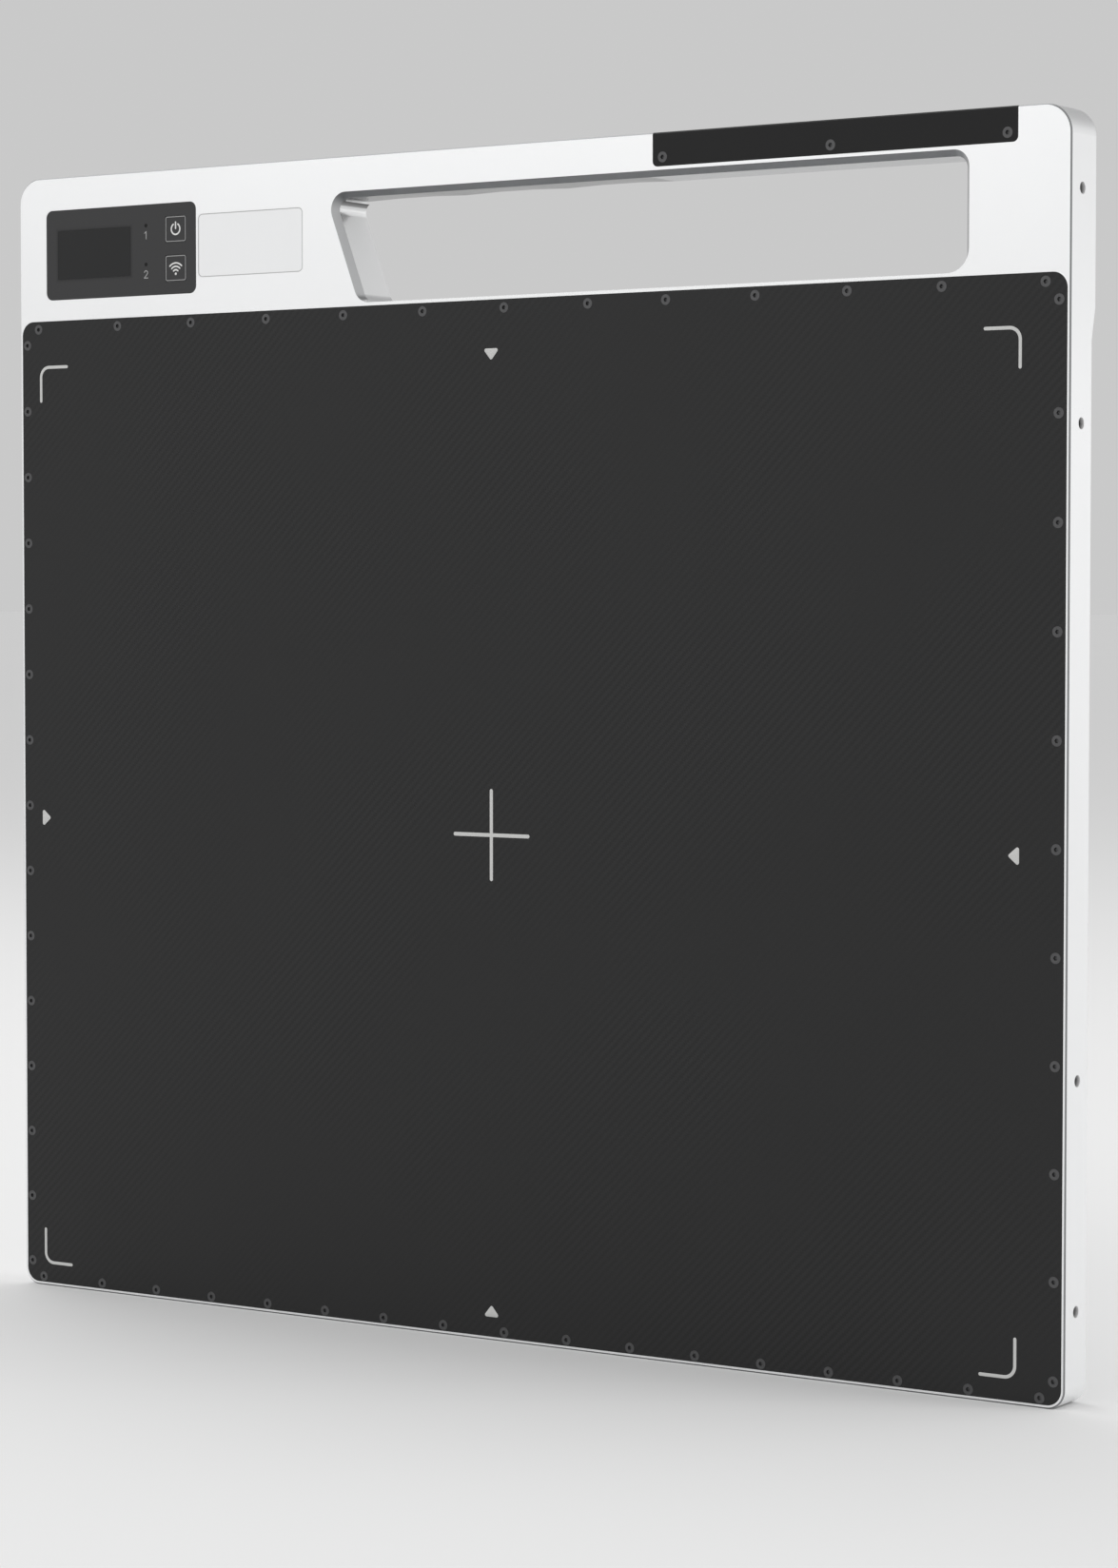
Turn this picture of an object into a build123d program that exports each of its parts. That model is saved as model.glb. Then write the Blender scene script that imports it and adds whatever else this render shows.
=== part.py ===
from build123d import *
import os

# Wireless x-ray flat panel detector, standing on its lower edge as it is shown.
# Millimetres. X runs to the right, Y from the front face to the back, Z up.
# The origin is at the middle of the lower edge, half way through the thickness.
# A depth is a distance behind the front face.

# Outside of the housing
overall_width = 460.0
overall_height = 437.5
body_thickness = 16.5
band_raise = 2.6
step_below_top = 78.0
step_length = 11.0
top_corner_radius = 10.0
front_edge_chamfer = 0.5
back_edge_radius = 1.0

# Front plate, and the recess that it lies in
plate_rim = 1.2
band_height = 55.9
plate_thickness = 1.5
plate_corner_radius = 5.5
gasket_thickness = 0.3
ledge_width = 5.4
cavity_radius = 3.0

# Margins from the edges of the front plate to the area that takes the picture
active_left = 8.85
active_right = 16.95
active_bottom = 7.45
active_top = 17.45

# Layers behind the front plate
foam_thickness = 0.6
scintillator_thickness = 0.6
glass_thickness = 0.7
lead_thickness = 0.5
chassis_thickness = 2.5
layer_gap = 1.0
scintillator_margin = 1.0
bond_margin = 6.0
chassis_setback = 0.6

# Handle opening: its margins are to the outline at the front face
handle_left_margin = 150.55
handle_right_margin = 38.2
handle_strip = 1.2
handle_opening_height = 41.5
handle_lean = 15.4
handle_radius_top_left = 6.5
handle_radius_bottom_left = 6.7
handle_radius_bottom_right = 8.3
handle_radius_top_right = 6.0
handle_chamfer_in = 2.1
handle_chamfer_deep = 2.7
handle_chamfer_low = 0.3
scallop_count = 3
scallop_width = 45.7
scallop_rise = 0.5
scallop_start = 5.35
scallop_depth_start = 6.0

# Tapped holes in both sides
side_hole_radius = 2.05
side_hole_length = 8.0
side_hole_from_bottom = 32.35
side_hole_from_top = 27.85
side_hole_spacing = 78.25
side_boss_height = 12.0
side_boss_reach = 4.0

# Screws: head radius, head height, shank radius and length
screw_clearance = 0.05
plate_screw = (1.9, 1.1, 0.95, 5.2)
cover_screw = (1.9, 1.1, 0.95, 4.8)
board_screw = (1.8, 1.2, 0.95, 3.0)
small_screw = (1.4, 0.9, 0.75, 2.6)
screw_land = 0.15
socket_radius = 0.85
socket_depth = 0.8

# Front plate screws: distances from the edges of the front plate, and counts
plate_screw_top_in = 3.1
plate_screw_left_in = 2.4
plate_screw_right_in = 3.1
plate_screw_bottom_in = 2.2
plate_screw_corner_x = 8.2
plate_screw_corner_low_z = 8.2
plate_screw_corner_high_z = 9.2
top_row_first = 48.4
top_row_break_left = 38.0
top_row_break_right = 71.0
top_row_last = 47.4
bottom_row_first = 38.3
bottom_row_last = 35.3
right_row_first = 41.95
right_row_last = 46.9

# Rear cover
rear_rim = 2.2
rear_cover_thickness = 1.2
rear_cover_below_step = 3.5
rear_cover_radius = 4.5
rear_ledge_width = 4.4
rear_wall_thickness = 3.2
rear_screws_across = 7
rear_screws_up = 6

# Control panel at the upper left: margins from the left edge and from the top
overlay_left = 13.85
overlay_top = 12.9
overlay_width = 74.95
overlay_height = 34.9
overlay_radius = 3.0
overlay_thickness = 0.6
overlay_sink = 0.05
window_left = 5.75
window_top = 8.05
window_width = 36.85
window_height = 19.05
window_radius = 0.8
fit_gap = 0.05
led_left = 50.25
led_top = 8.05
led_pitch = 14.95
led_pipe_radius = 0.7
key_width = 10.3
key_height = 10.0
key_radius = 0.7
key_left = 64.95
key_top = 10.05
key_pitch = 14.95
key_gap = 0.12
key_travel = 0.3
key_well = 0.45
stem_width = 5.0
stem_gap = 0.3
label_gap = 1.1
label_top = 17.9
label_width = 50.05
label_height = 24.0
label_radius = 2.0
label_thickness = 0.2
label_sink = 0.05

# Bay behind the control panel, closed from the back
bay_wall_depth = 1.8
bay_side = 1.0
bay_bottom = 1.1
bay_cover_thickness = 1.2
bay_ledge = 4.2
bay_radius = 2.5
control_board_thickness = 1.0
control_post_height = 2.8
control_board_inset = 2.4
control_post_radius = 2.2
control_post_inset = 3.0
display_module_thickness = 1.6
display_module_over = 0.6

# Antenna cover at the upper right
antenna_cover_right = 19.9
antenna_cover_length = 144.5
antenna_cover_height = 12.0
antenna_cover_radius = 2.0
antenna_cover_wall = 1.5
antenna_cover_roof = 1.8
antenna_cover_back = 1.5
antenna_cover_screw_z = 3.25
antenna_cover_screw_in = 4.0
antenna_pocket_end = 2.4
antenna_pocket_shelf = 5.5
antenna_pocket_low = 1.5
antenna_pocket_back = 1.6
antenna_length = 50.0
antenna_gap = 18.0
antenna_thickness = 0.6
coax_radius = 0.65
coax_pitch = 1.6
coax_bore_radius = 2.2
coax_from_side = 30.0
coax_bend = 5.0

# Battery pack in the middle of the back
battery_width = 200.0
battery_height = 118.0
battery_over_chassis = 3.1
battery_centre_z = 140.0
battery_radius = 4.0
battery_gap = 0.3
battery_wall = 2.6
battery_end_wall = 1.2
battery_lid_thickness = 1.0
battery_floor = 1.0
cell_count = 3
cell_gap = 1.5
cell_clearance = 0.3
terminal_count = 5
terminal_pitch = 6.0
terminal_width = 3.0
terminal_height = 5.0
pin_radius = 0.6
tray_wall = 1.0
tray_floor = 0.8
tray_floor_gap = 0.2
tray_foot_radius = 4.0
finger_notch_width = 34.0
finger_notch_height = 5.0
finger_notch_deep = 2.4

# Latches on both sides of the battery
latch_travel = 4.0
latch_gap = 0.4
latch_base_length = 13.0
latch_base_height = 22.0
latch_base_deep = 3.1
latch_thumb_length = 9.0
latch_thumb_height = 18.0
latch_thumb_sink = 0.2
latch_side_gap = 0.3
tongue_height = 16.0
tongue_reach = 1.2
tongue_tip = 0.4
tongue_slope = 3.0
tongue_gap = 0.4
latch_spring_thickness = 0.2
latch_spring_height = 2.4

# Boards behind the chassis
board_thickness = 1.2
standoff_height = 2.8
standoff_radius = 2.2
board_hole_inset = 3.6
readout_board_height = 34.0
readout_board_below_top = 9.6
readout_board_split = 4.0
readout_board_side = 13.0
gate_board_width = 24.0
gate_board_side = 5.5
gate_board_low_z = 20.0
gate_board_top_gap = 8.0
main_board_width = 270.0
main_board_height = 85.0
main_board_left = 28.0
main_board_above_battery = 22.0
power_board_width = 200.0
power_board_height = 45.0
power_board_low = 13.4
connector_height = 1.6
strap_thickness = 0.2

# Film circuits that wrap round the edges of the chassis
readout_flex_count = 12
gate_flex_count = 8
flex_share_of_pitch = 0.65
flex_thickness = 0.2
flex_bond = 3.6
flex_reach = 1.0
flex_bend = 0.9
flex_board_overlap = 9.0
flex_corner_gap = 1.0
flex_chip_thickness = 0.5

# Lugs of the housing that carry the chassis
lug_width = 8.0
lug_thickness = 2.5
lug_reach = 6.4
lug_screw_in = 2.6

# Places worked out from the sizes above
band_thickness = body_thickness + band_raise
front_y = -band_thickness / 2
half_width = overall_width / 2
bottom_corner_radius = plate_corner_radius + plate_rim

plate_left = -half_width + plate_rim
plate_right = half_width - plate_rim
plate_low = plate_rim
plate_high = overall_height - band_height

cavity_left = plate_left + ledge_width
cavity_right = plate_right - ledge_width
cavity_low = plate_low + ledge_width
cavity_high = plate_high - ledge_width

seat_depth = plate_thickness + gasket_thickness
foam_back = plate_thickness + foam_thickness
scintillator_back = foam_back + scintillator_thickness
glass_back = scintillator_back + glass_thickness
lead_back = glass_back + lead_thickness
chassis_back = lead_back + chassis_thickness
board_front = chassis_back + standoff_height
board_back = board_front + board_thickness

image_left = plate_left + active_left
image_right = plate_right - active_right
image_low = plate_low + active_bottom
image_high = plate_high - active_top

glass_left = cavity_left + layer_gap
glass_right = image_right + bond_margin
glass_low = cavity_low + layer_gap / 2
glass_high = image_high + bond_margin
chassis_right = glass_right - chassis_setback
chassis_high = glass_high - chassis_setback

rear_left = -half_width + rear_rim
rear_right = half_width - rear_rim
rear_low = rear_rim
step_low_z = overall_height - step_below_top
rear_cover_top_z = step_low_z - rear_cover_below_step
rear_opening_high = rear_cover_top_z - rear_ledge_width
rear_wall_depth = body_thickness - rear_wall_thickness
rear_cover_inner = body_thickness - rear_cover_thickness
rear_seat_depth = rear_cover_inner - gasket_thickness

flex_front = scintillator_back - flex_thickness
flex_back = board_back + flex_thickness

handle_low = plate_high + handle_strip
handle_high = handle_low + handle_opening_height
handle_left = -half_width + handle_left_margin
handle_right = half_width - handle_right_margin

overlay_x = -half_width + overlay_left
overlay_high = overall_height - overlay_top
overlay_back = overlay_sink + overlay_thickness

cover_left = half_width - antenna_cover_right - antenna_cover_length
cover_right = half_width - antenna_cover_right
cover_low = overall_height - antenna_cover_height
cover_roof_z = overall_height - antenna_cover_roof
cover_back = band_thickness - antenna_cover_back

battery_left = -battery_width / 2
battery_right = battery_width / 2
battery_low = battery_centre_z - battery_height / 2
battery_high = battery_centre_z + battery_height / 2
battery_front = chassis_back + battery_over_chassis
tray_floor_back = battery_front - tray_floor_gap
tray_floor_front = tray_floor_back - tray_floor

os.makedirs("parts", exist_ok=True)


# Drawing helpers

def at_depth(depth):
    """The plane parallel to the front face: drawn x is X and drawn y is Z."""
    return Plane(origin=(0, front_y + depth, 0), x_dir=(1, 0, 0), z_dir=(0, -1, 0))


def slab(outline, front, back):
    """An outline drawn in x and z, carried from one depth to another."""
    return extrude(at_depth(front) * outline, amount=back - front, dir=(0, 1, 0))


def panel(left, right, low, high, radius=0.0):
    """A rectangle between four edges, with rounded corners where a radius is given."""
    middle = Pos((left + right) / 2, (low + high) / 2)
    if radius > 0:
        return middle * RectangleRounded(right - left, high - low, radius)
    return middle * Rectangle(right - left, high - low)


def block(left, right, low, high, front, back, radius=0.0):
    """A plate or block between four edges and two depths."""
    return slab(panel(left, right, low, high, radius), front, back)


def rod(x, z, radius, front, back):
    """A round bar or a hole that runs from front to back."""
    return slab(Pos(x, z) * Circle(radius), front, back)


def cross_section(points, low, high):
    """Points given as (x, depth), carried up from one height to another."""
    drawn = [(x, front_y + depth) for x, depth in points]
    face = Plane.XY.offset(low) * make_face(Polyline(*drawn, close=True))
    return extrude(face, amount=high - low, dir=(0, 0, 1))


def side_section(points, left, right):
    """Points given as (depth, z), carried across from left to right."""
    drawn = [(front_y + depth, z) for depth, z in points]
    face = Plane.YZ.offset(left) * make_face(Polyline(*drawn, close=True))
    return extrude(face, amount=right - left, dir=(1, 0, 0))


def spread(first, last, count):
    """Evenly spaced places from first to last."""
    return [first + (last - first) * i / (count - 1) for i in range(count)]


def middles(first, last, count):
    """The middles of equal shares of a length."""
    share = (last - first) / count
    return [first + share * (i + 0.5) for i in range(count)]


def group(*shapes):
    """Separate solids that make one named piece."""
    return Compound([solid for shape in shapes for solid in shape.solids()])


def save(name, *shapes):
    """Write one named piece."""
    export_step(group(*shapes), f"parts/{name}.step")


def strap(points, bend, across, width):
    """A flat ribbon cable along points given as (x, depth, z), bent round each corner."""
    placed = [(x, front_y + depth, z) for x, depth, z in points]
    path = FilletPolyline(*placed, radius=bend)
    start = Plane(path @ 0, x_dir=across, z_dir=path % 0)
    return sweep(start * Rectangle(width, strap_thickness), path)


def round_cable(points, bend):
    """A round cable along points given as (x, depth, z)."""
    placed = [(x, front_y + depth, z) for x, depth, z in points]
    path = FilletPolyline(*placed, radius=bend)
    return sweep(Plane(path @ 0, z_dir=path % 0) * Circle(coax_radius), path)


# Screws and their holes

def turned(profile):
    """A profile of (radius, depth) points turned about the Y axis."""
    return revolve(make_face(Polyline(*profile, close=True)), Axis.Y)


def sunk_screw(sizes):
    """A countersunk screw with a hexagon socket, head at the origin, pointing along +Y."""
    head, head_height, shank, length = sizes
    profile = [(0, 0), (head, 0), (head, screw_land), (shank, head_height), (shank, length), (0, length)]
    socket = extrude(Plane.XZ * RegularPolygon(socket_radius, 6), amount=socket_depth, dir=(0, 1, 0))
    return turned(profile) - socket


def sunk_hole(sizes, reach):
    """The countersunk hole for that screw, up to a depth."""
    head, head_height, shank, length = sizes
    wide = head + screw_clearance
    bore = shank + screw_clearance
    profile = [(0, -1), (wide, -1), (wide, screw_land), (bore, head_height + screw_clearance), (bore, reach)]
    return turned(profile + [(0, reach)])


def pan_screw(sizes):
    """A screw whose flat head lies on a face at the origin, with its shank along +Y."""
    head, head_height, shank, length = sizes
    profile = [(0, -head_height), (head, -head_height), (head, 0), (shank, 0), (shank, length), (0, length)]
    socket = extrude(Plane.XZ.offset(head_height) * RegularPolygon(shank * 0.9, 6), amount=head_height * 0.6,
                     dir=(0, 1, 0))
    return turned(profile) - socket


def set_at(shape, places, depth, from_back=False):
    """Copies of a screw or hole at (x, z) places, turned round where it enters from the back."""
    turn = Rot(0, 0, 180) if from_back else Rot(0, 0, 0)
    return [Pos(x, front_y + depth, z) * turn * shape for x, z in places]


# Where the screws go

def plate_screw_places():
    """Both ends of the four rows follow the corners, and the rest are evenly spaced between."""
    top_z = plate_high - plate_screw_top_in
    bottom_z = plate_low + plate_screw_bottom_in
    left_x = plate_left + plate_screw_left_in
    right_x = plate_right - plate_screw_right_in
    corner_xs = [plate_left + plate_screw_corner_x, plate_right - plate_screw_corner_x]
    corner_zs = [plate_low + plate_screw_corner_low_z, plate_high - plate_screw_corner_high_z]
    top_xs = spread(plate_left + top_row_first, top_row_break_left, 7)
    top_xs += spread(top_row_break_right, plate_right - top_row_last, 4)
    bottom_xs = spread(plate_left + bottom_row_first, plate_right - bottom_row_last, 15)
    left_zs = spread(corner_zs[0], corner_zs[1], 15)
    right_zs = spread(plate_low + right_row_first, plate_high - right_row_last, 9)
    places = [(x, top_z) for x in corner_xs + top_xs]
    places += [(x, bottom_z) for x in corner_xs + bottom_xs]
    places += [(left_x, z) for z in left_zs]
    places += [(right_x, z) for z in corner_zs + right_zs]
    return places


def rear_screw_places():
    """One row along each edge of the rear cover, over the middle of its ledge."""
    inset = rear_ledge_width / 2 + 0.2
    left, right = rear_left + inset, rear_right - inset
    low, high = rear_low + inset, rear_cover_top_z - inset
    corner = 12.0
    xs = spread(left + corner, right - corner, rear_screws_across)
    zs = spread(low + corner, high - corner, rear_screws_up)
    return [(x, z) for x in xs for z in (low, high)] + [(x, z) for x in (left, right) for z in zs]


def antenna_screw_places():
    z = cover_low + antenna_cover_screw_z
    return [(x, z) for x in spread(cover_left + antenna_cover_screw_in, cover_right - antenna_cover_screw_in, 3)]


def bay_edges():
    """Left, right, low and high edges of the bay behind the control panel."""
    left = overlay_x - bay_side + 0.1
    right = overlay_x + overlay_width + bay_side - 0.3
    low = overlay_high - overlay_height - bay_bottom
    high = overlay_high + bay_side - 0.1
    return left, right, low, high


def bay_cover_edges():
    left, right, low, high = bay_edges()
    return left - bay_ledge, right + bay_ledge, low - bay_ledge, high + bay_ledge


def bay_screw_places():
    left, right, low, high = bay_cover_edges()
    inset = bay_ledge / 2 + 0.2
    return [(x, z) for x in (left + inset, (left + right) / 2, right - inset) for z in (low + inset, high - inset)]


def control_board_edges():
    left, right, low, high = bay_edges()
    inset = control_board_inset
    return left + inset, right - inset, low + inset + 0.6, high - inset - 0.6


def control_post_places():
    left, right, low, high = control_board_edges()
    inset = control_post_inset
    return [(x, z) for x in (left + inset, right - inset) for z in (low + inset, high - inset)]


def side_hole_heights():
    lowest, highest = side_hole_from_bottom, overall_height - side_hole_from_top
    return [lowest, lowest + side_hole_spacing, highest - side_hole_spacing, highest]


def lug_places():
    """Each lug as left, right, low, high and the place of its screw."""
    half = lug_width / 2
    middle_z = (image_low + image_high) / 2
    places = []
    for k in (-4, 0, 4):
        x = middle_x + k * readout_flex_pitch
        places.append((x - half, x + half, chassis_high - lug_reach, cavity_high, (x, chassis_high - lug_screw_in)))
        places.append((x - half, x + half, cavity_low, glass_low + lug_reach, (x, glass_low + lug_screw_in)))
    for k in (-3, 0, 3):
        z = middle_z + k * gate_flex_pitch
        places.append((chassis_right - lug_reach, cavity_right, z - half, z + half, (chassis_right - lug_screw_in, z)))
        places.append((cavity_left, glass_left + lug_reach, z - half, z + half, (glass_left + lug_screw_in, z)))
    return places


# Housing

def housing_blank():
    """The outer shape: thicker along the top, with the step in the back, and eased edges."""
    outline = panel(-half_width, half_width, 0, overall_height)
    outline = fillet(outline.vertices().group_by(Axis.Y)[-1], top_corner_radius)
    outline = fillet(outline.vertices().group_by(Axis.Y)[0], bottom_corner_radius)
    blank = slab(outline, 0, band_thickness)
    step_high_z = step_low_z + step_length
    behind = band_thickness + 1
    relief = [(body_thickness, -1), (body_thickness, step_low_z), (band_thickness, step_high_z)]
    relief += [(behind, step_high_z), (behind, -1)]
    blank -= side_section(relief, -half_width - 1, half_width + 1)
    front_edges = blank.faces().sort_by(Axis.Y)[0].edges()
    blank = chamfer(front_edges, front_edge_chamfer)
    creases = (step_low_z, step_high_z)
    back_edges = [edge for edge in blank.edges() if edge.center().Y > front_y + body_thickness - 0.01]
    back_edges = [edge for edge in back_edges if min(abs(edge.center().Z - z) for z in creases) > 0.01]
    return fillet(back_edges, back_edge_radius)


def handle_outline(inset, low_inset):
    """The leaning outline of the handle opening, drawn in by an inset, and by another along its lower side."""
    lean_inset = inset * (1 + (handle_lean / handle_opening_height) ** 2) ** 0.5
    low, high = handle_low + low_inset, handle_high - inset
    slope = handle_lean / handle_opening_height
    left_low = handle_left + handle_lean - slope * low_inset + lean_inset
    left_high = handle_left + slope * inset + lean_inset
    right = handle_right - inset
    corners = [(left_high, high), (left_low, low), (right, low), (right, high)]
    radii = [handle_radius_top_left, handle_radius_bottom_left, handle_radius_bottom_right,
             handle_radius_top_right]
    return make_face(FilletPolyline(*corners, radius=[r - inset for r in radii], close=True))


def handle_cuts():
    """The straight opening, its chamfer at the front, which runs out along the lower side, and the finger scallops."""
    inner = handle_outline(handle_chamfer_in, handle_chamfer_low)
    mouth = loft([at_depth(0) * handle_outline(0, 0), at_depth(handle_chamfer_deep) * inner])
    cuts = [slab(inner, -1, band_thickness + 1), mouth]
    wall_z = handle_high - handle_chamfer_in
    half = scallop_width / 2
    radius = (half ** 2 - scallop_rise ** 2) / (2 * scallop_rise)
    slope = scallop_rise / (band_thickness - scallop_depth_start)
    run_in = 2.0
    length = band_thickness - scallop_depth_start + run_in
    for x in middles(handle_left + scallop_start, handle_left + scallop_start + scallop_count * scallop_width,
                     scallop_count):
        cone = Cone(radius - slope * run_in, radius + scallop_rise, length,
                    align=(Align.CENTER, Align.CENTER, Align.MIN))
        lying = Pos(x, front_y + scallop_depth_start - run_in, wall_z - radius) * Rot(-90, 0, 0) * cone
        strip = block(x - half, x + half, wall_z - 1, wall_z + scallop_rise + 1, 0, band_thickness)
        cuts.append(lying & strip)
    return cuts


def plate_seat_cuts():
    """Recess of the front plate, the cavity behind it, and the recess of the rear cover."""
    seat = block(plate_left, plate_right, plate_low, plate_high, -1, seat_depth, plate_corner_radius)
    front_cavity = block(cavity_left, cavity_right, cavity_low, cavity_high, 0, rear_wall_depth, cavity_radius)
    rear_cavity = block(cavity_left, cavity_right, cavity_low, rear_opening_high, 0, body_thickness + 1,
                        cavity_radius)
    rear_seat = block(rear_left, rear_right, rear_low, rear_cover_top_z, rear_seat_depth, band_thickness,
                      rear_cover_radius)
    return [seat, front_cavity, rear_cavity, rear_seat]


def control_bay_cuts():
    """Recesses for the overlay and the label, the bay from the back, and the ways through its wall."""
    left, right, low, high = bay_edges()
    overlay = block(overlay_x - fit_gap, overlay_x + overlay_width + fit_gap, overlay_high - overlay_height - fit_gap,
                    overlay_high + fit_gap, -1, overlay_back, overlay_radius)
    label = block(label_x - fit_gap, label_x + label_width + fit_gap, label_high - label_height - fit_gap,
                  label_high + fit_gap, -1, label_sink + label_thickness, label_radius)
    bay = block(left, right, low, high, bay_wall_depth, band_thickness + 1, bay_radius)
    cover = bay_cover_edges()
    cover_seat = block(*cover, band_thickness - bay_cover_thickness, band_thickness + 1, bay_radius)
    rim = 1.0
    window = block(window_x + rim, window_x + window_width - rim, window_high - window_height + rim,
                   window_high - rim, 0, bay_wall_depth + 1)
    cuts = [overlay, label, bay, cover_seat, window]
    for z in led_heights:
        cuts.append(rod(led_x, z, led_pipe_radius + fit_gap, 0, bay_wall_depth + 1))
    for z in key_heights:
        half_w = key_width / 2 + key_gap
        half_h = key_height / 2 + key_gap
        half_stem = stem_width / 2 + stem_gap
        cuts.append(block(key_x - half_w, key_x + half_w, z - half_h, z + half_h, 0, overlay_back + key_well))
        cuts.append(block(key_x - half_stem, key_x + half_stem, z - half_stem, z + half_stem, 0, bay_wall_depth + 1))
    duct_half = control_cable_width / 2 + 1.5
    cuts.append(block(control_cable_x - duct_half, control_cable_x + duct_half, cavity_high - 1, low + 1,
                      control_cable_depth - 1.1, control_cable_depth + 1.1))
    return cuts


def antenna_cuts():
    """Seat of the antenna cover, the pocket under it, and the bore for the antenna cables."""
    front_seat = slab(antenna_cover_front(fit_gap), -1, antenna_cover_wall)
    roof_seat = block(cover_left - fit_gap, cover_right + fit_gap, cover_roof_z, overall_height + 1, -1, cover_back)
    left, right = cover_left + antenna_pocket_end, cover_right - antenna_pocket_end
    upper = block(left, right, cover_low + antenna_pocket_shelf, cover_roof_z + 1, 0, cover_back - antenna_pocket_back)
    lower = block(left, right, cover_low + antenna_pocket_low, cover_roof_z, 6.0, cover_back - antenna_pocket_back)
    bore_length = cover_low + antenna_pocket_low + 1 - (cavity_high - 1)
    bore = Cylinder(coax_bore_radius, bore_length, align=(Align.CENTER, Align.CENTER, Align.MIN))
    return [front_seat, roof_seat, upper, lower, Pos(coax_x, front_y + coax_depth, cavity_high - 1) * bore]


def side_hole_cuts():
    """Blind tapped holes, half way through the lower thickness."""
    cuts = []
    depth = body_thickness / 2
    for z in side_hole_heights():
        for side in (-1, 1):
            hole = Cylinder(side_hole_radius, side_hole_length + 1, rotation=(0, 90, 0))
            x = side * (half_width - side_hole_length / 2 + 0.5)
            cuts.append(Pos(x, front_y + depth, z) * hole)
    return cuts


def housing_inner_parts():
    """Lugs for the chassis, bosses behind the side holes, and posts for the control board."""
    added = []
    for left, right, low, high, screw_place in lug_places():
        added.append(block(left, right, low, high, chassis_back, chassis_back + lug_thickness))
    half = side_boss_height / 2
    for z in side_hole_heights()[:3]:
        boss_front = chassis_back + 0.1
        added.append(block(cavity_left - 1, cavity_left + side_boss_reach, z - half, z + half, boss_front,
                           rear_seat_depth))
        added.append(block(cavity_right - side_boss_reach, cavity_right + 1, z - half, z + half, boss_front,
                           rear_seat_depth))
    for x, z in control_post_places():
        added.append(rod(x, z, control_post_radius, bay_wall_depth - 0.2, bay_wall_depth + control_post_height))
    return added


def front_frame():
    frame = housing_blank()
    frame -= plate_seat_cuts() + handle_cuts() + control_bay_cuts() + antenna_cuts()
    frame += housing_inner_parts()
    holes = set_at(sunk_hole(plate_screw, plate_screw[3] + 0.3), plate_screw_places(), 0)
    holes += set_at(sunk_hole(cover_screw, cover_screw[3] + 0.3), rear_screw_places(), body_thickness, True)
    holes += set_at(sunk_hole(cover_screw, cover_screw[3] + 0.3), antenna_screw_places(), 0)
    holes += set_at(sunk_hole(cover_screw, cover_screw[3] + 0.3), bay_screw_places(), band_thickness, True)
    holes += [rod(*place, board_screw[2] + 0.15, chassis_back - 1, chassis_back + lug_thickness + 1)
              for left, right, low, high, place in lug_places()]
    post_back = bay_wall_depth + control_post_height
    holes += [rod(x, z, small_screw[2] + screw_clearance, post_back - 2.0, post_back + 1)
              for x, z in control_post_places()]
    return frame - (holes + side_hole_cuts())


# Front plate and the layers behind it

def front_plate():
    plate = block(plate_left + fit_gap, plate_right - fit_gap, plate_low + fit_gap, plate_high - fit_gap, 0,
                  plate_thickness, plate_corner_radius - fit_gap)
    return plate - set_at(sunk_hole(plate_screw, plate_screw[3]), plate_screw_places(), 0)


def front_gasket():
    ring = block(plate_left + 0.3, plate_right - 0.3, plate_low + 0.3, plate_high - 0.3, plate_thickness,
                 seat_depth, plate_corner_radius - 0.3)
    ring -= block(cavity_left, cavity_right, cavity_low, cavity_high, 0, seat_depth + 1, cavity_radius)
    return ring - [rod(x, z, plate_screw[2] + 0.15, 0, seat_depth + 1) for x, z in plate_screw_places()]


def chassis():
    """Stiff plate that the glass is bonded to, tapped for its own screws and for the standoffs."""
    plate = block(glass_left, chassis_right, glass_low, chassis_high, lead_back, chassis_back, 2.0)
    holes = [rod(*place, board_screw[2] + screw_clearance, lead_back + 0.4, chassis_back + 1)
             for left, right, low, high, place in lug_places()]
    return plate - holes


def readout_film(x):
    """One film circuit from the front of the glass, over the top edge, on to the readout board."""
    left, right = x - readout_flex_width / 2, x + readout_flex_width / 2
    return wrapped_film(glass_high, readout_board_high - flex_board_overlap, left, right, False)


def gate_film(z):
    """One film circuit from the front of the glass, round the right edge, on to the gate board."""
    low, high = z - gate_flex_width / 2, z + gate_flex_width / 2
    return wrapped_film(glass_right, gate_flex_end, low, high, True)


def wrapped_film(glass_edge, far, first, last, sideways):
    """A thin U: a rounded loop of film cut open, with a short front leg and a longer back leg."""
    outer_edge = glass_edge + flex_reach
    outer = panel(flex_front, flex_back, far - 10, outer_edge, flex_bend)
    inner = panel(flex_front + flex_thickness, flex_back - flex_thickness, far - 11, outer_edge - flex_thickness,
                  flex_bend - flex_thickness)
    middle = (flex_front + flex_back) / 2
    open_side = panel(flex_front - 1, flex_back + 1, far - 12, far)
    short_leg = panel(flex_front - 1, middle, far - 12, glass_edge - flex_bond)
    outline = Pos(front_y, 0) * (outer - inner - open_side - short_leg)
    if sideways:
        plane = Plane(origin=(0, 0, first), x_dir=(0, 1, 0), z_dir=(0, 0, -1))
        return extrude(plane * outline, amount=last - first, dir=(0, 0, 1))
    return extrude(Plane.YZ.offset(first) * outline, amount=last - first, dir=(1, 0, 0))


def film_chips():
    """A long narrow driver chip on the back leg of each film circuit."""
    near = 2.0
    chips = [block(x - 8, x + 8, readout_board_high + near, readout_board_high + near + 2.4, flex_back,
                   flex_back + flex_chip_thickness) for x in readout_flex_xs]
    gates = [block(gate_board_right + near - 1.4, gate_board_right + near + 0.2, z - 8, z + 8, flex_back,
                   flex_back + flex_chip_thickness) for z in gate_flex_zs]
    return chips + gates


# Boards

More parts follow.
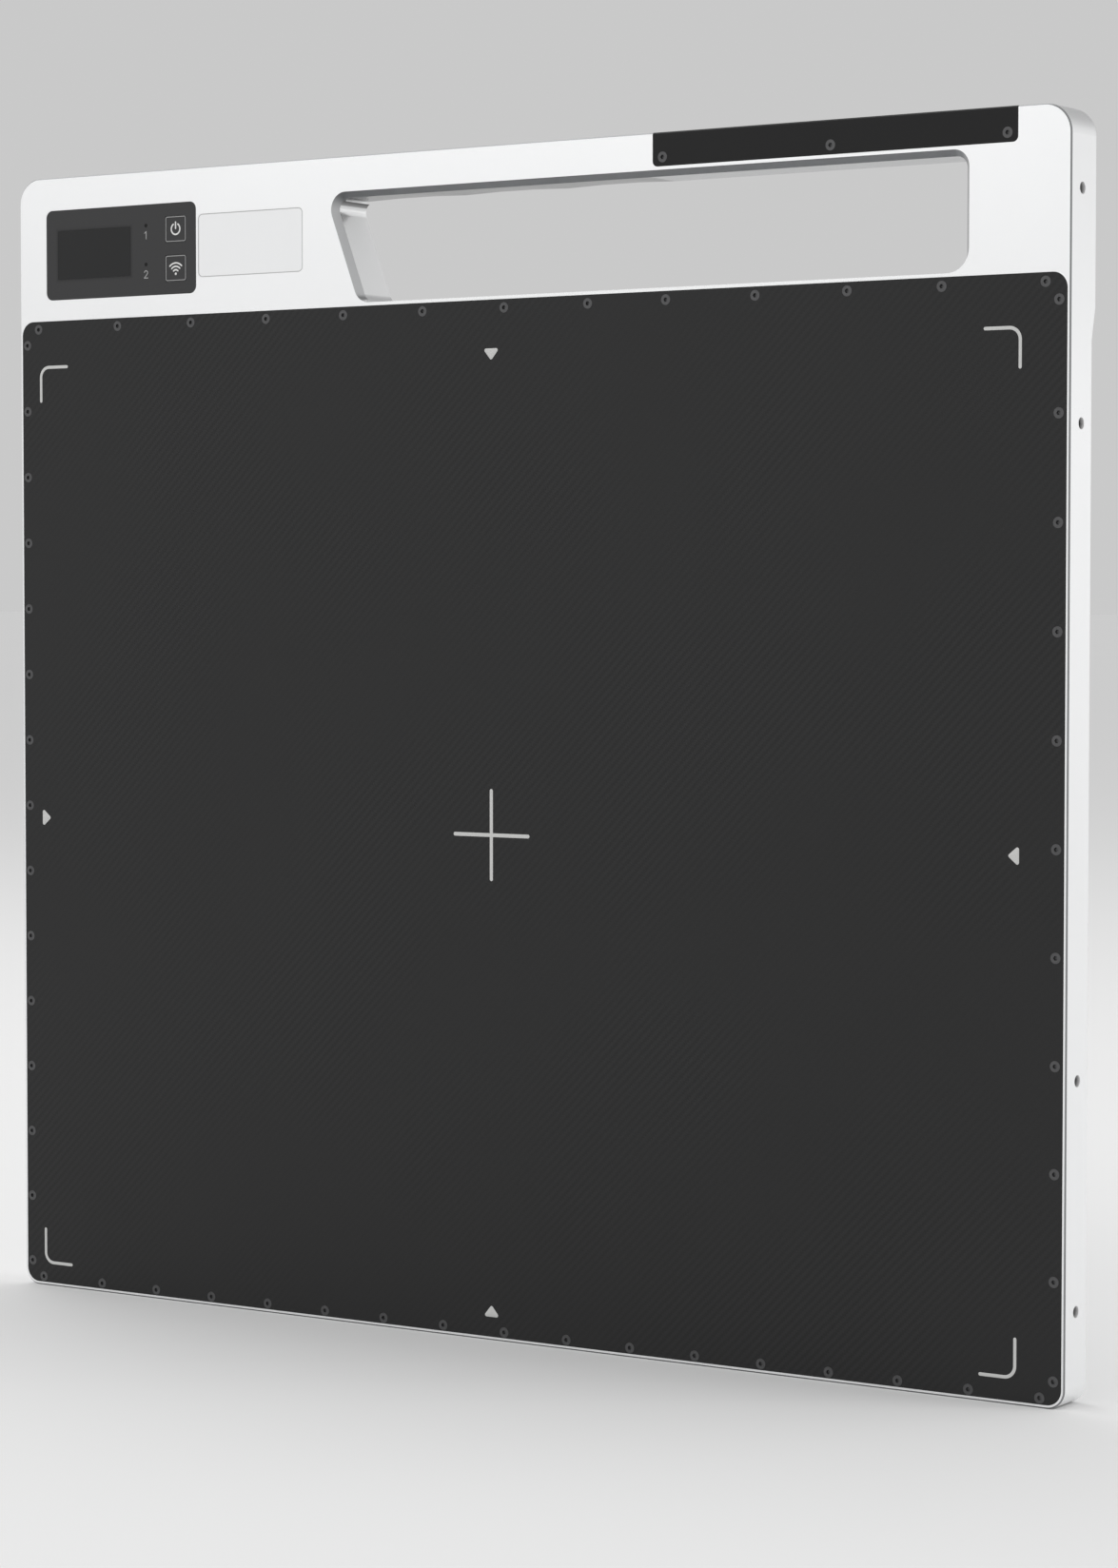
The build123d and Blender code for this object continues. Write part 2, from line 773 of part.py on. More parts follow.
def corner_places(edges):
    left, right, low, high = edges
    inset = board_hole_inset
    return [(x, z) for x in (left + inset, right - inset) for z in (low + inset, high - inset)]


def readout_hole_places(edges, gaps):
    """Holes between the film circuits, which cover the upper edge of the board."""
    low, high = edges[2] + board_hole_inset, edges[3] - board_hole_inset
    return [(image_left + readout_flex_pitch * gap, z) for gap in gaps for z in (low, high)]


def gate_hole_places():
    """Holes at both ends of the inner edge, between the films at the outer edge, and in the neck."""
    left, right, low, high = gate_edges
    inset = board_hole_inset
    inner = [(left + inset, low + inset), (left + inset, high - inset)]
    outer = [(right - inset, image_low + gate_flex_pitch * gap) for gap in (2, 6)]
    last_film_top = gate_flex_zs[-1] + gate_flex_width / 2
    return inner + outer + [((gate_neck_left + right) / 2, last_film_top + 2.6)]


def circuit_board(edges, holes):
    board = block(*edges, board_front, board_back, 1.0)
    return board - [rod(x, z, board_screw[2] + 0.15, 0, band_thickness) for x, z in holes]


def gate_board():
    """A strip along the right side, with a narrow neck beside the readout board."""
    neck = block(gate_neck_left, gate_board_right, gate_edges[3] - 2, readout_board_high, board_front, board_back, 1.0)
    return circuit_board(gate_edges, gate_hole_places()) + (neck - [
        rod(x, z, board_screw[2] + 0.15, 0, band_thickness) for x, z in gate_hole_places()])


def standoff(x, z):
    post = rod(x, z, standoff_radius, chassis_back, board_front)
    return post - rod(x, z, board_screw[2] + screw_clearance, chassis_back + 0.4, board_front + 1)


def on_board(left, right, low, high, height):
    """A component on the back of a board."""
    return block(left, right, low, high, board_back, board_back + height)


# Battery and its bay

def latch_notch(side):
    """The ramp in the battery's side that the latch tongue holds."""
    half = tongue_height / 2 + 0.4
    edge = battery_right
    deep = edge - tongue_reach - tongue_gap
    ramp_top = tongue_depth - tongue_tip - tongue_gap + tongue_slope * tongue_gap
    out = edge + 0.1
    ramp_low = ramp_top - tongue_slope * (out - deep)
    points = [(deep, body_thickness + 1), (deep, ramp_top), (out, ramp_low), (out, body_thickness + 1)]
    points = [(side * x, depth) for x, depth in points]
    return cross_section(points, battery_centre_z - half, battery_centre_z + half)


def battery_outline(grow):
    return panel(battery_left - grow, battery_right + grow, battery_low - grow, battery_high + grow,
                 battery_radius + grow)


def finger_notch():
    """A scoop in the lower edge of the pack, to lift it by."""
    half = finger_notch_width / 2
    points = [(body_thickness + 1, battery_low - 1), (body_thickness - finger_notch_deep, battery_low - 1),
              (body_thickness - finger_notch_deep, battery_low),
              (body_thickness, battery_low + finger_notch_height),
              (body_thickness + 1, battery_low + finger_notch_height)]
    return side_section(points, -half, half)


def battery_case():
    lid_front = body_thickness - battery_lid_thickness
    case = slab(battery_outline(0), battery_front, lid_front)
    inside = panel(battery_left + battery_wall, battery_right - battery_wall, battery_low + battery_end_wall,
                   battery_high - battery_end_wall, 2.0)
    case -= slab(inside, battery_front + battery_floor, lid_front + 1)
    rib = finger_notch_height + 1.5
    case += block(-finger_notch_width / 2 - 2, finger_notch_width / 2 + 2, battery_low + 0.5, battery_low + rib,
                  battery_front + 3.5, lid_front)
    windows = [block(x - terminal_width / 2, x + terminal_width / 2, terminal_low, terminal_low + terminal_height,
                     battery_front - 1, battery_front + battery_floor) for x in terminal_xs]
    return case - (windows + [latch_notch(-1), latch_notch(1), finger_notch()])


def battery_lid():
    lid = slab(battery_outline(0), body_thickness - battery_lid_thickness, body_thickness)
    lid = chamfer(lid.faces().sort_by(Axis.Y)[-1].edges(), 0.3)
    return lid - [latch_notch(-1), latch_notch(1), finger_notch()]


def battery_cells():
    """Flat pouch cells side by side, above the strip that the protection board takes."""
    front = battery_front + battery_floor
    back = body_thickness - battery_lid_thickness - cell_clearance
    low, high = protection_high + 1.0, battery_high - battery_end_wall - cell_clearance
    left, right = battery_left + battery_wall + cell_clearance, battery_right - battery_wall - cell_clearance
    width = (right - left - cell_gap * (cell_count - 1)) / cell_count
    return [block(x - width / 2, x + width / 2, low, high, front, back, 1.5)
            for x in middles(left - cell_gap / 2, right + cell_gap / 2, cell_count)]


def battery_tray():
    """Plastic bay: floor, walls up to the rear cover, and a pocket for each latch."""
    gap, wall = battery_gap, tray_wall
    outer = slab(battery_outline(gap + wall), tray_floor_front, rear_cover_inner)
    pocket_half = latch_base_height / 2 + latch_side_gap
    pocket_front = rear_cover_inner - latch_base_deep - 2 * latch_side_gap
    inner = [slab(battery_outline(gap), tray_floor_back, rear_cover_inner + 1)]
    for side in (-1, 1):
        xs = sorted((side * (battery_right - 1), side * (pocket_end + wall)))
        outer += block(*xs, battery_centre_z - pocket_half - wall, battery_centre_z + pocket_half + wall,
                       pocket_front - wall, rear_cover_inner)
        xs = sorted((side * (battery_right - 1), side * pocket_end))
        inner.append(block(*xs, battery_centre_z - pocket_half, battery_centre_z + pocket_half, pocket_front,
                           rear_cover_inner + 1))
    inner.append(block(connector_left - 0.3, connector_right + 0.3, connector_low - 0.3, connector_high + 0.3, 0,
                       rear_cover_inner))
    feet = [rod(x, z, tray_foot_radius, chassis_back, tray_floor_front + 0.1) for x, z in tray_foot_places]
    return (outer - inner) + feet


def latch(side):
    """Slider with a ribbed thumb piece and a ramped tongue over the edge of the battery."""
    inner = battery_right + latch_gap
    half = latch_base_height / 2
    low, high = battery_centre_z - half, battery_centre_z + half
    base_back = rear_cover_inner - latch_side_gap
    base_front = base_back - latch_base_deep
    base = [(inner, base_front), (inner + latch_base_length, base_front), (inner + latch_base_length, base_back),
            (inner, base_back)]
    tip = battery_right - tongue_reach
    ramp_run = (tongue_depth - tongue_tip - base_front) / tongue_slope
    tongue = [(inner + 1, base_front), (tip + ramp_run, base_front), (tip, tongue_depth - tongue_tip),
              (tip, tongue_depth), (inner + 1, tongue_depth)]
    thumb_back = body_thickness - latch_thumb_sink
    half_thumb = latch_thumb_height / 2
    thumb = [(inner, base_back - 0.1), (inner + latch_thumb_length, base_back - 0.1),
             (inner + latch_thumb_length, thumb_back), (inner, thumb_back)]
    body = cross_section(mirrored(base, side), low, high)
    body += cross_section(mirrored(tongue, side), battery_centre_z - tongue_height / 2,
                          battery_centre_z + tongue_height / 2)
    body += cross_section(mirrored(thumb, side), battery_centre_z - half_thumb, battery_centre_z + half_thumb)
    grooves = []
    for x in middles(inner, inner + latch_thumb_length, 4):
        groove = [(x - 0.45, thumb_back + 0.1), (x - 0.45, thumb_back - 0.5), (x + 0.45, thumb_back - 0.5),
                  (x + 0.45, thumb_back + 0.1)]
        grooves.append(cross_section(mirrored(groove, side), battery_centre_z - half_thumb + 2,
                                     battery_centre_z + half_thumb - 2))
    return body - grooves


def mirrored(points, side):
    return [(side * x, depth) for x, depth in points]


def latch_spring(side):
    """A bowed leaf spring between the end of the pocket and the latch."""
    ends = pocket_end - 0.1
    crown = battery_right + latch_gap + latch_base_length + 0.1
    reach = latch_base_height / 2 - 2.0
    thickness = latch_spring_thickness
    base_back = rear_cover_inner - latch_side_gap
    outer = ThreePointArc((ends, -reach), (crown, 0), (ends, reach))
    inner = ThreePointArc((ends, -reach + 0.5), (crown + thickness, 0), (ends, reach - 0.5))
    ends_low = Line(outer @ 0, inner @ 0)
    ends_high = Line(outer @ 1, inner @ 1)
    face = make_face([outer, ends_high, inner, ends_low])
    spring = slab(Pos(0, battery_centre_z) * face, base_back - latch_spring_height - 0.3, base_back - 0.3)
    return spring if side > 0 else mirror(spring, Plane.YZ)


def rear_cover():
    cover = block(rear_left + fit_gap, rear_right - fit_gap, rear_low + fit_gap, rear_cover_top_z - fit_gap,
                  rear_cover_inner, body_thickness, rear_cover_radius - fit_gap)
    cuts = [slab(battery_outline(battery_gap), 0, band_thickness)]
    half = latch_thumb_height / 2 + latch_side_gap
    slot_end = battery_right + latch_gap + latch_thumb_length + latch_travel + 0.2
    for side in (-1, 1):
        xs = sorted((side * (battery_right - 1), side * slot_end))
        cuts.append(block(*xs, battery_centre_z - half, battery_centre_z + half, 0, band_thickness))
    cuts += set_at(sunk_hole(cover_screw, cover_screw[3]), rear_screw_places(), body_thickness, True)
    return cover - cuts


def rear_gasket():
    ring = block(rear_left + 0.3, rear_right - 0.3, rear_low + 0.3, rear_cover_top_z - 0.3, rear_seat_depth,
                 rear_cover_inner, rear_cover_radius - 0.3)
    ring -= block(cavity_left, cavity_right, cavity_low, rear_opening_high, 0, band_thickness, cavity_radius)
    return ring - [rod(x, z, cover_screw[2] + 0.15, 0, band_thickness) for x, z in rear_screw_places()]


# Control panel and antenna cover

def antenna_cover_front(grow):
    """Front outline of the antenna cover: round lower corners, and open to the top edge."""
    outline = panel(cover_left - grow, cover_right + grow, cover_low - grow, overall_height)
    return fillet(outline.vertices().group_by(Axis.Y)[0], antenna_cover_radius)


def antenna_cover():
    cover = slab(antenna_cover_front(0), 0, antenna_cover_wall)
    cover += block(cover_left, cover_right, cover_roof_z, overall_height, 0, cover_back)
    top_edge = [edge for edge in cover.edges().filter_by(Axis.X)
                if edge.center().Z > overall_height - 0.01 and edge.center().Y < front_y + 0.01]
    cover = chamfer(top_edge, front_edge_chamfer)
    return cover - set_at(sunk_hole(cover_screw, cover_screw[3]), antenna_screw_places(), 0)


def control_overlay():
    overlay = block(overlay_x, overlay_x + overlay_width, overlay_high - overlay_height, overlay_high, overlay_sink,
                    overlay_back, overlay_radius)
    cuts = [block(window_x, window_x + window_width, window_high - window_height, window_high, 0, 1,
                  window_radius)]
    cuts += [rod(led_x, z, led_pipe_radius + fit_gap, 0, 1) for z in led_heights]
    half_w = key_width / 2 + key_gap
    half_h = key_height / 2 + key_gap
    cuts += [block(key_x - half_w, key_x + half_w, z - half_h, z + half_h, 0, 1, key_radius + key_gap)
             for z in key_heights]
    return overlay - cuts


def key(z):
    """Key cap with the stem that reaches through the housing wall."""
    half_w, half_h, half_stem = key_width / 2, key_height / 2, stem_width / 2
    cap = block(key_x - half_w, key_x + half_w, z - half_h, z + half_h, overlay_sink, overlay_back, key_radius)
    return cap + block(key_x - half_stem, key_x + half_stem, z - half_stem, z + half_stem, overlay_back - 0.1,
                       plunger_front)


def switch_body(z):
    half = 3.0
    body = block(key_x - half, key_x + half, z - half, z + half, switch_front, control_board_front, 0.4)
    return body - rod(key_x, z, plunger_radius + fit_gap, switch_front - 1, plunger_back + key_travel + 0.1)


# Places on the control panel
window_x = overlay_x + window_left
window_high = overlay_high - window_top
led_x = overlay_x + led_left
led_heights = [overlay_high - led_top - led_pitch * i for i in range(2)]
key_x = overlay_x + key_left
key_heights = [overlay_high - key_top - key_pitch * i for i in range(2)]
label_x = overlay_x + overlay_width + label_gap
label_high = overall_height - label_top
control_board_front = bay_wall_depth + control_post_height
control_board_back = control_board_front + control_board_thickness
switch_front = control_board_front - 1.6
plunger_front = bay_wall_depth + 0.2
plunger_radius = 1.7
plunger_back = control_board_front - 0.8
control_cable_width = 12.0
control_cable_x = -half_width + 50.0
control_cable_depth = flex_back + flex_chip_thickness + 0.9
coax_x = half_width - coax_from_side
coax_depth = control_cable_depth + 0.3

# Places of the boards
readout_board_high = glass_high - readout_board_below_top
readout_board_low = readout_board_high - readout_board_height
gate_board_right = glass_right - gate_board_side
gate_board_left = gate_board_right - gate_board_width
middle_x = (image_left + image_right) / 2
readout_flex_pitch = (image_right - image_left) / readout_flex_count
gate_flex_pitch = (image_high - image_low) / gate_flex_count
readout_flex_width = readout_flex_pitch * flex_share_of_pitch
gate_flex_width = gate_flex_pitch * flex_share_of_pitch
readout_flex_xs = middles(image_left, image_right, readout_flex_count)
gate_flex_zs = middles(image_low, image_high, gate_flex_count)
gate_flex_end = readout_flex_xs[-1] + readout_flex_width / 2 + flex_corner_gap
gate_neck_left = gate_flex_end - flex_corner_gap / 2
readout_edges = [
    (cavity_left + readout_board_side, middle_x - readout_board_split / 2, readout_board_low, readout_board_high),
    (middle_x + readout_board_split / 2, gate_flex_end - flex_corner_gap, readout_board_low, readout_board_high),
]
gate_edges = (gate_board_left, gate_board_right, gate_board_low_z, readout_board_low - gate_board_top_gap)
main_low = battery_high + main_board_above_battery
main_high = main_low + main_board_height
main_left = cavity_left + main_board_left
main_right = main_left + main_board_width
main_edges = (main_left, main_right, main_low, main_high)
power_high = cavity_low + power_board_low + power_board_height
power_edges = (-power_board_width / 2, power_board_width / 2, power_high - power_board_height, power_high)

# Places in the battery
protection_low = battery_low + battery_end_wall + cell_clearance
protection_high = protection_low + 8.0
terminal_low = protection_low + 1.5
terminal_xs = [terminal_pitch * (i - (terminal_count - 1) / 2) - 60.0 for i in range(terminal_count)]
connector_left = terminal_xs[0] - terminal_width
connector_right = terminal_xs[-1] + terminal_width
connector_low = terminal_low - 0.5
connector_high = terminal_low + terminal_height + 0.5
tongue_depth = rear_cover_inner - latch_side_gap
pocket_end = battery_right + latch_gap + latch_base_length + latch_travel + 0.2
foot_x = battery_width / 2 - 12.0
foot_z = battery_height / 2 - 12.0
tray_foot_places = [(x, battery_centre_z + z) for x in (-foot_x, foot_x) for z in (-foot_z, foot_z)]

# Housing, front plate and covers
save("front_frame", front_frame())
save("front_plate", front_plate())
save("front_plate_screws", *set_at(sunk_screw(plate_screw), plate_screw_places(), 0.02))
save("rear_cover", rear_cover())
save("cover_gaskets", front_gasket(), rear_gasket())
save("antenna_cover", antenna_cover())
save("cover_screws", *set_at(sunk_screw(cover_screw), rear_screw_places(), body_thickness - 0.02, True),
     *set_at(sunk_screw(cover_screw), bay_screw_places(), band_thickness - 0.02, True),
     *set_at(sunk_screw(cover_screw), antenna_screw_places(), 0.02))

# Layers that turn x-rays into a picture
save("shock_foam", block(glass_left, cavity_right - layer_gap, glass_low, cavity_high - layer_gap, plate_thickness,
                         foam_back, 2.0))
save("scintillator", block(image_left - scintillator_margin, image_right + scintillator_margin,
                           image_low - scintillator_margin, image_high + scintillator_margin, foam_back,
                           scintillator_back))
save("sensor_glass", block(glass_left, glass_right, glass_low, glass_high, scintillator_back, glass_back, 1.0))
save("lead_shield", block(glass_left, chassis_right, glass_low, chassis_high, glass_back, lead_back, 1.0))
save("support_chassis", chassis())
chassis_screws = [Pos(x, front_y + chassis_back + lug_thickness, z) * Rot(0, 0, 180) * pan_screw((1.8, 1.2, 0.95, 4.2))
                  for left, right, low, high, (x, z) in lug_places()]
save("chassis_screws", *chassis_screws)
save("readout_flexes", *[readout_film(x) for x in readout_flex_xs])
save("gate_flexes", *[gate_film(z) for z in gate_flex_zs])
save("film_chips", *film_chips())

# Circuit boards, their posts and screws
readout_holes = [readout_hole_places(readout_edges[0], (1, 5)), readout_hole_places(readout_edges[1], (7, 11))]
save("readout_boards", *[circuit_board(edges, holes) for edges, holes in zip(readout_edges, readout_holes)])
save("gate_board", gate_board())
save("main_board", circuit_board(main_edges, corner_places(main_edges)))
save("power_board", circuit_board(power_edges, corner_places(power_edges)))
hole_places = readout_holes[0] + readout_holes[1] + gate_hole_places()
hole_places += corner_places(main_edges) + corner_places(power_edges)
save("board_standoffs", *[standoff(x, z) for x, z in hole_places])
save("board_screws", *set_at(pan_screw(board_screw), hole_places, board_back, True))

# Components on the main board and the power board
processor_x = main_left + 90.0
processor_z = (main_low + main_high) / 2
inductor_places = [(x, power_high - 16.0) for x in spread(power_edges[0] + 30, power_edges[1] - 60, 4)]
save("board_chips", *[on_board(x - 3, x + 3, z - 16, z - 9, 1.1) for x, z in inductor_places],
     on_board(processor_x - 12, processor_x + 12, processor_z - 12, processor_z + 12, 1.4),
     *[on_board(processor_x + 34, processor_x + 44, z, z + 13, 1.1) for z in spread(main_low + 12, main_high - 25, 3)],
     *[on_board(x, x + 8, main_low + 10, main_low + 18, 0.9) for x in spread(main_left + 170, main_right - 60, 3)])
can = on_board(processor_x - 24, processor_x + 24, processor_z - 24, processor_z + 24, 2.6)
can -= block(processor_x - 23.8, processor_x + 23.8, processor_z - 23.8, processor_z + 23.8, board_back - 1,
             board_back + 2.4)
save("shield_can", can)
radio_left, radio_low = main_right - 36.0, main_high - 36.0
radio_right, radio_high = radio_left + 28.0, radio_low + 22.0
save("radio_module", on_board(radio_left, radio_right, radio_low, radio_high, 2.2))
save("power_inductors", *[on_board(x - 5, x + 5, z - 5, z + 5, 3.6) for x, z in inductor_places])

# Flat cables between the boards, and their connectors
strap_front = board_back + connector_height / 2
link_xs = [processor_x + 10.0, middle_x + 14.0]
connectors = []
links = []
for x in link_xs:
    connectors.append(on_board(x - 9, x + 9, main_high - 9, main_high - 4, connector_height))
    connectors.append(on_board(x - 9, x + 9, readout_board_low + 4, readout_board_low + 9, connector_height))
    links.append(block(x - 8, x + 8, main_high - 4, readout_board_low + 4, strap_front, strap_front + strap_thickness))
gate_link_z = main_high - 45.0
connectors.append(on_board(main_right - 9, main_right - 4, gate_link_z - 8, gate_link_z + 8, connector_height))
connectors.append(on_board(gate_board_left + 4, gate_board_left + 9, gate_link_z - 8, gate_link_z + 8,
                           connector_height))
links.append(block(main_right - 4, gate_board_left + 4, gate_link_z - 7, gate_link_z + 7, strap_front,
                   strap_front + strap_thickness))
power_link_x = 60.0
power_start, power_end = power_high - 4.0, main_low + 4.0
connectors.append(on_board(power_link_x - 9, power_link_x + 9, power_start - 5, power_start, connector_height))
connectors.append(on_board(power_link_x - 9, power_link_x + 9, power_end, power_end + 5, connector_height))
under_tray = (chassis_back + tray_floor_front) / 2
strap_level = strap_front + strap_thickness / 2
links.append(strap([(power_link_x, strap_level, power_start), (power_link_x, strap_level, power_high + 3),
                    (power_link_x, under_tray, power_high + 8), (power_link_x, under_tray, main_low - 8),
                    (power_link_x, strap_level, main_low - 3), (power_link_x, strap_level, power_end)],
                   1.5, (1, 0, 0), 16.0))
battery_link_high = connector_low
connectors.append(block(connector_left, connector_right, power_high - 10, power_high - 5, board_front - 1.6,
                        board_front))
links.append(block(connector_left + 1, connector_right - 1, power_high - 5, battery_link_high, board_front - 1.0,
                   board_front - 1.0 + strap_thickness))
cable_connector_z = main_high - 9.0
connectors.append(block(control_cable_x - 7, control_cable_x + 7, cable_connector_z, cable_connector_z + 5,
                        board_back, control_cable_depth + 0.6))
save("board_connectors", *connectors)
save("board_cables", *links)

# Antennas and their cables
antenna_low = cover_low + antenna_pocket_shelf + 0.3
antenna_high = cover_roof_z - 0.2
near_antenna_right = coax_x - 4.0
antenna_rights = [near_antenna_right, near_antenna_right - antenna_length - antenna_gap]
antenna_back = antenna_cover_wall + antenna_thickness
save("antennas", *[block(x - antenna_length, x, antenna_low, antenna_high, antenna_cover_wall, antenna_back)
                   for x in antenna_rights])
coax_runs = []
for index, antenna_right in enumerate(antenna_rights):
    start_x = radio_left + 10.0 + 7.0 * index
    run_z = main_high + 12.5 - 3.0 * index
    rise_x = coax_x + coax_pitch * (index - 0.5)
    top_z = antenna_low + 0.9 + 2.1 * index
    feed_x = antenna_right - 6.0
    points = [(start_x, coax_depth, radio_high), (start_x, coax_depth, run_z), (rise_x, coax_depth, run_z),
              (rise_x, coax_depth, top_z), (feed_x, coax_depth, top_z), (feed_x, antenna_back, top_z)]
    coax_runs.append(round_cable(points, [coax_bend, coax_bend, 2.2, 2.2]))
coax_plugs = [block(radio_left + 8.5 + 7.0 * i, radio_left + 11.5 + 7.0 * i, radio_high - 3.0, radio_high,
                    board_back + 2.2, coax_depth + 0.9) for i in range(2)]
save("antenna_cables", *coax_runs)

# Control panel
save("control_overlay", control_overlay())
save("display_window", block(window_x + fit_gap, window_x + window_width - fit_gap,
                             window_high - window_height + fit_gap, window_high - fit_gap, overlay_sink, overlay_back,
                             window_radius - fit_gap))
save("id_label", block(label_x, label_x + label_width, label_high - label_height, label_high, label_sink,
                       label_sink + label_thickness, label_radius - fit_gap))
over = display_module_over
save("display_module", block(window_x - over, window_x + window_width + over, window_high - window_height - over,
                             window_high + over, bay_wall_depth, bay_wall_depth + display_module_thickness))
board_edges = control_board_edges()
control_board = block(*board_edges, control_board_front, control_board_back, 1.0)
control_board -= [rod(x, z, small_screw[2] + 0.15, 0, band_thickness) for x, z in control_post_places()]
save("control_board", control_board)
save("control_board_screws", *set_at(pan_screw(small_screw), control_post_places(), control_board_back, True))
display_spacer = block(window_x + 3, window_x + window_width - 3, window_high - window_height + 3, window_high - 3,
                       bay_wall_depth + display_module_thickness, control_board_front)
save("display_foam", display_spacer)
save("led_light_pipes", *[rod(led_x, z, led_pipe_radius, overlay_sink, control_board_front - 0.6)
                          for z in led_heights])
save("status_leds", *[block(led_x - 0.8, led_x + 0.8, z - 0.5, z + 0.5, control_board_front - 0.6,
                            control_board_front) for z in led_heights])
save("power_button", key(key_heights[0]))
save("wireless_button", key(key_heights[1]))
save("power_plunger", rod(key_x, key_heights[0], plunger_radius, plunger_front, plunger_back))
save("wireless_plunger", rod(key_x, key_heights[1], plunger_radius, plunger_front, plunger_back))
save("switch_bodies", *[switch_body(z) for z in key_heights])
plug_low = board_edges[2] + 10.0
plug_back = control_board_back + 1.4
save("cable_plugs", *coax_plugs, block(control_cable_x - 7, control_cable_x + 7, plug_low, plug_low + 4,
                                       control_board_back, plug_back))
cable_start_depth = control_board_back + 0.7
cable_points = [(control_cable_x, cable_start_depth, plug_low), (control_cable_x, cable_start_depth, plug_low - 4),
                (control_cable_x, control_cable_depth, plug_low - 10),
                (control_cable_x, control_cable_depth, cable_connector_z + 5)]
save("control_cable", strap(cable_points, 1.5, (1, 0, 0), control_cable_width))
left, right, low, high = bay_cover_edges()
bay_cover = block(left + fit_gap, right - fit_gap, low + fit_gap, high - fit_gap,
                  band_thickness - bay_cover_thickness, band_thickness, bay_radius)
save("display_bay_cover", bay_cover - set_at(sunk_hole(cover_screw, cover_screw[3]), bay_screw_places(),
                                             band_thickness, True))

# Battery pack, its bay and its latches
save("battery_case", battery_case())
save("battery_lid", battery_lid())
save("battery_cells", *battery_cells())
protection_front = battery_front + battery_floor
save("battery_protection_board", block(-85.0, 60.0, protection_low, protection_high, protection_front,
                                       protection_front + 1.0))
save("battery_terminals", *[block(x - terminal_width / 2 + fit_gap, x + terminal_width / 2 - fit_gap,
                                  terminal_low + fit_gap, terminal_low + terminal_height - fit_gap, battery_front,
                                  protection_front) for x in terminal_xs])
save("battery_tray", battery_tray())
save("battery_connector", block(connector_left, connector_right, connector_low, connector_high, chassis_back,
                                tray_floor_back - 0.2))
save("battery_contact_pins", *[rod(x, terminal_low + terminal_height / 2, pin_radius, tray_floor_back - 0.2,
                                   battery_front - 0.1) for x in terminal_xs])
for side, name in ((-1, "left"), (1, "right")):
    save(f"battery_latch_{name}", latch(side))
    save(f"latch_spring_{name}", latch_spring(side))
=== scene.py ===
"""A wireless x-ray flat panel detector, built up in the order in which the real one is put together."""

import bmesh
import bpy
import numpy as np
from mathutils import Matrix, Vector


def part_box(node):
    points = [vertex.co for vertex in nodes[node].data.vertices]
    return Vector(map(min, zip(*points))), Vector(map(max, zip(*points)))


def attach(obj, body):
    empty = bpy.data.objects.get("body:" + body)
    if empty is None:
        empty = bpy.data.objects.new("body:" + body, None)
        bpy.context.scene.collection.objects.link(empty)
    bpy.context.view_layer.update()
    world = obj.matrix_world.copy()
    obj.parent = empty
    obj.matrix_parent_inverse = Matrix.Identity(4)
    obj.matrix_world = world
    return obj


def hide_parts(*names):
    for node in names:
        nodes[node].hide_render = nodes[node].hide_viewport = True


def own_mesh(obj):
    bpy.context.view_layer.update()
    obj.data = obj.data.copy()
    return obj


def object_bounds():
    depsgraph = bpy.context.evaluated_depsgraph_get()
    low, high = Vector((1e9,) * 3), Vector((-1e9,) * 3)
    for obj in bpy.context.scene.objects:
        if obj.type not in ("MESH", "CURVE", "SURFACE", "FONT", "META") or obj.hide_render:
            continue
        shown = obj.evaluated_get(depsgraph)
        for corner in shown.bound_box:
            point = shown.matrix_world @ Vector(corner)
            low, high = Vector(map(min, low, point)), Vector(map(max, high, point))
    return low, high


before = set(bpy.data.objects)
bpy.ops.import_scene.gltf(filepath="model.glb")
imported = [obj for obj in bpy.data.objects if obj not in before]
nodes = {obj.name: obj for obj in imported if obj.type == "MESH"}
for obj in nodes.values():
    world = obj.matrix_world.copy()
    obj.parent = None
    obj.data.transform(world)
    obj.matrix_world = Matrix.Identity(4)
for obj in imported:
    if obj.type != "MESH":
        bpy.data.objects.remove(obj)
cad_low, cad_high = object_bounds()


# Camera
# A long lens stands to the right of the detector, a little above the middle of its front plate.
# Its directions and its place are in the frame of the detector, in metres.
def placed(right, up, back, place):
    """The matrix of an object whose axes are three directions: they and its place are the columns."""
    rows = [(right[i], up[i], back[i], place[i]) for i in range(3)]
    return Matrix(rows + [(0, 0, 0, 1)])


camera_right = (0.83190, 0.55491, 0.00021)
camera_up = (-0.02572, 0.03818, 0.99894)
camera_back = (0.55431, -0.83105, 0.04604)
camera_place = (0.83536, -1.22328, 0.27305)
lens = bpy.data.cameras.new("camera")
lens.lens = 92.66
lens.sensor_width = 36.0
camera = bpy.data.objects.new("camera", lens)
camera.matrix_world = placed(camera_right, camera_up, camera_back, camera_place)
bpy.context.scene.collection.objects.link(camera)
bpy.context.scene.camera = camera


# Housing and its covers
# One piece of light alloy, milled, blasted fine and coated in a pearly satin white, like its covers.
# Painted shade greys the rim and the opening's edges, most where the opening's edges face down or left.
# The upper wall of the opening, its finger scallops and the holes in the sides are darker by painted shade.
MM = 0.001


def add_node(tree, kind, **values):
    """One shader node. A value goes to the node's setting of that name, or else to such an input."""
    node = tree.nodes.new(kind)
    for key, value in values.items():
        if hasattr(node, key):
            setattr(node, key, value)
        else:
            node.inputs[key.replace("_", " ")].default_value = value
    return node


def calculate(tree, operation, *values):
    """The output of a Math node on up to three values, each a number or another node's output."""
    node = add_node(tree, "ShaderNodeMath", operation=operation)
    for socket, value in zip(node.inputs, values):
        if isinstance(value, (int, float)):
            socket.default_value = value
        else:
            tree.links.new(value, socket)
    return node.outputs[0]


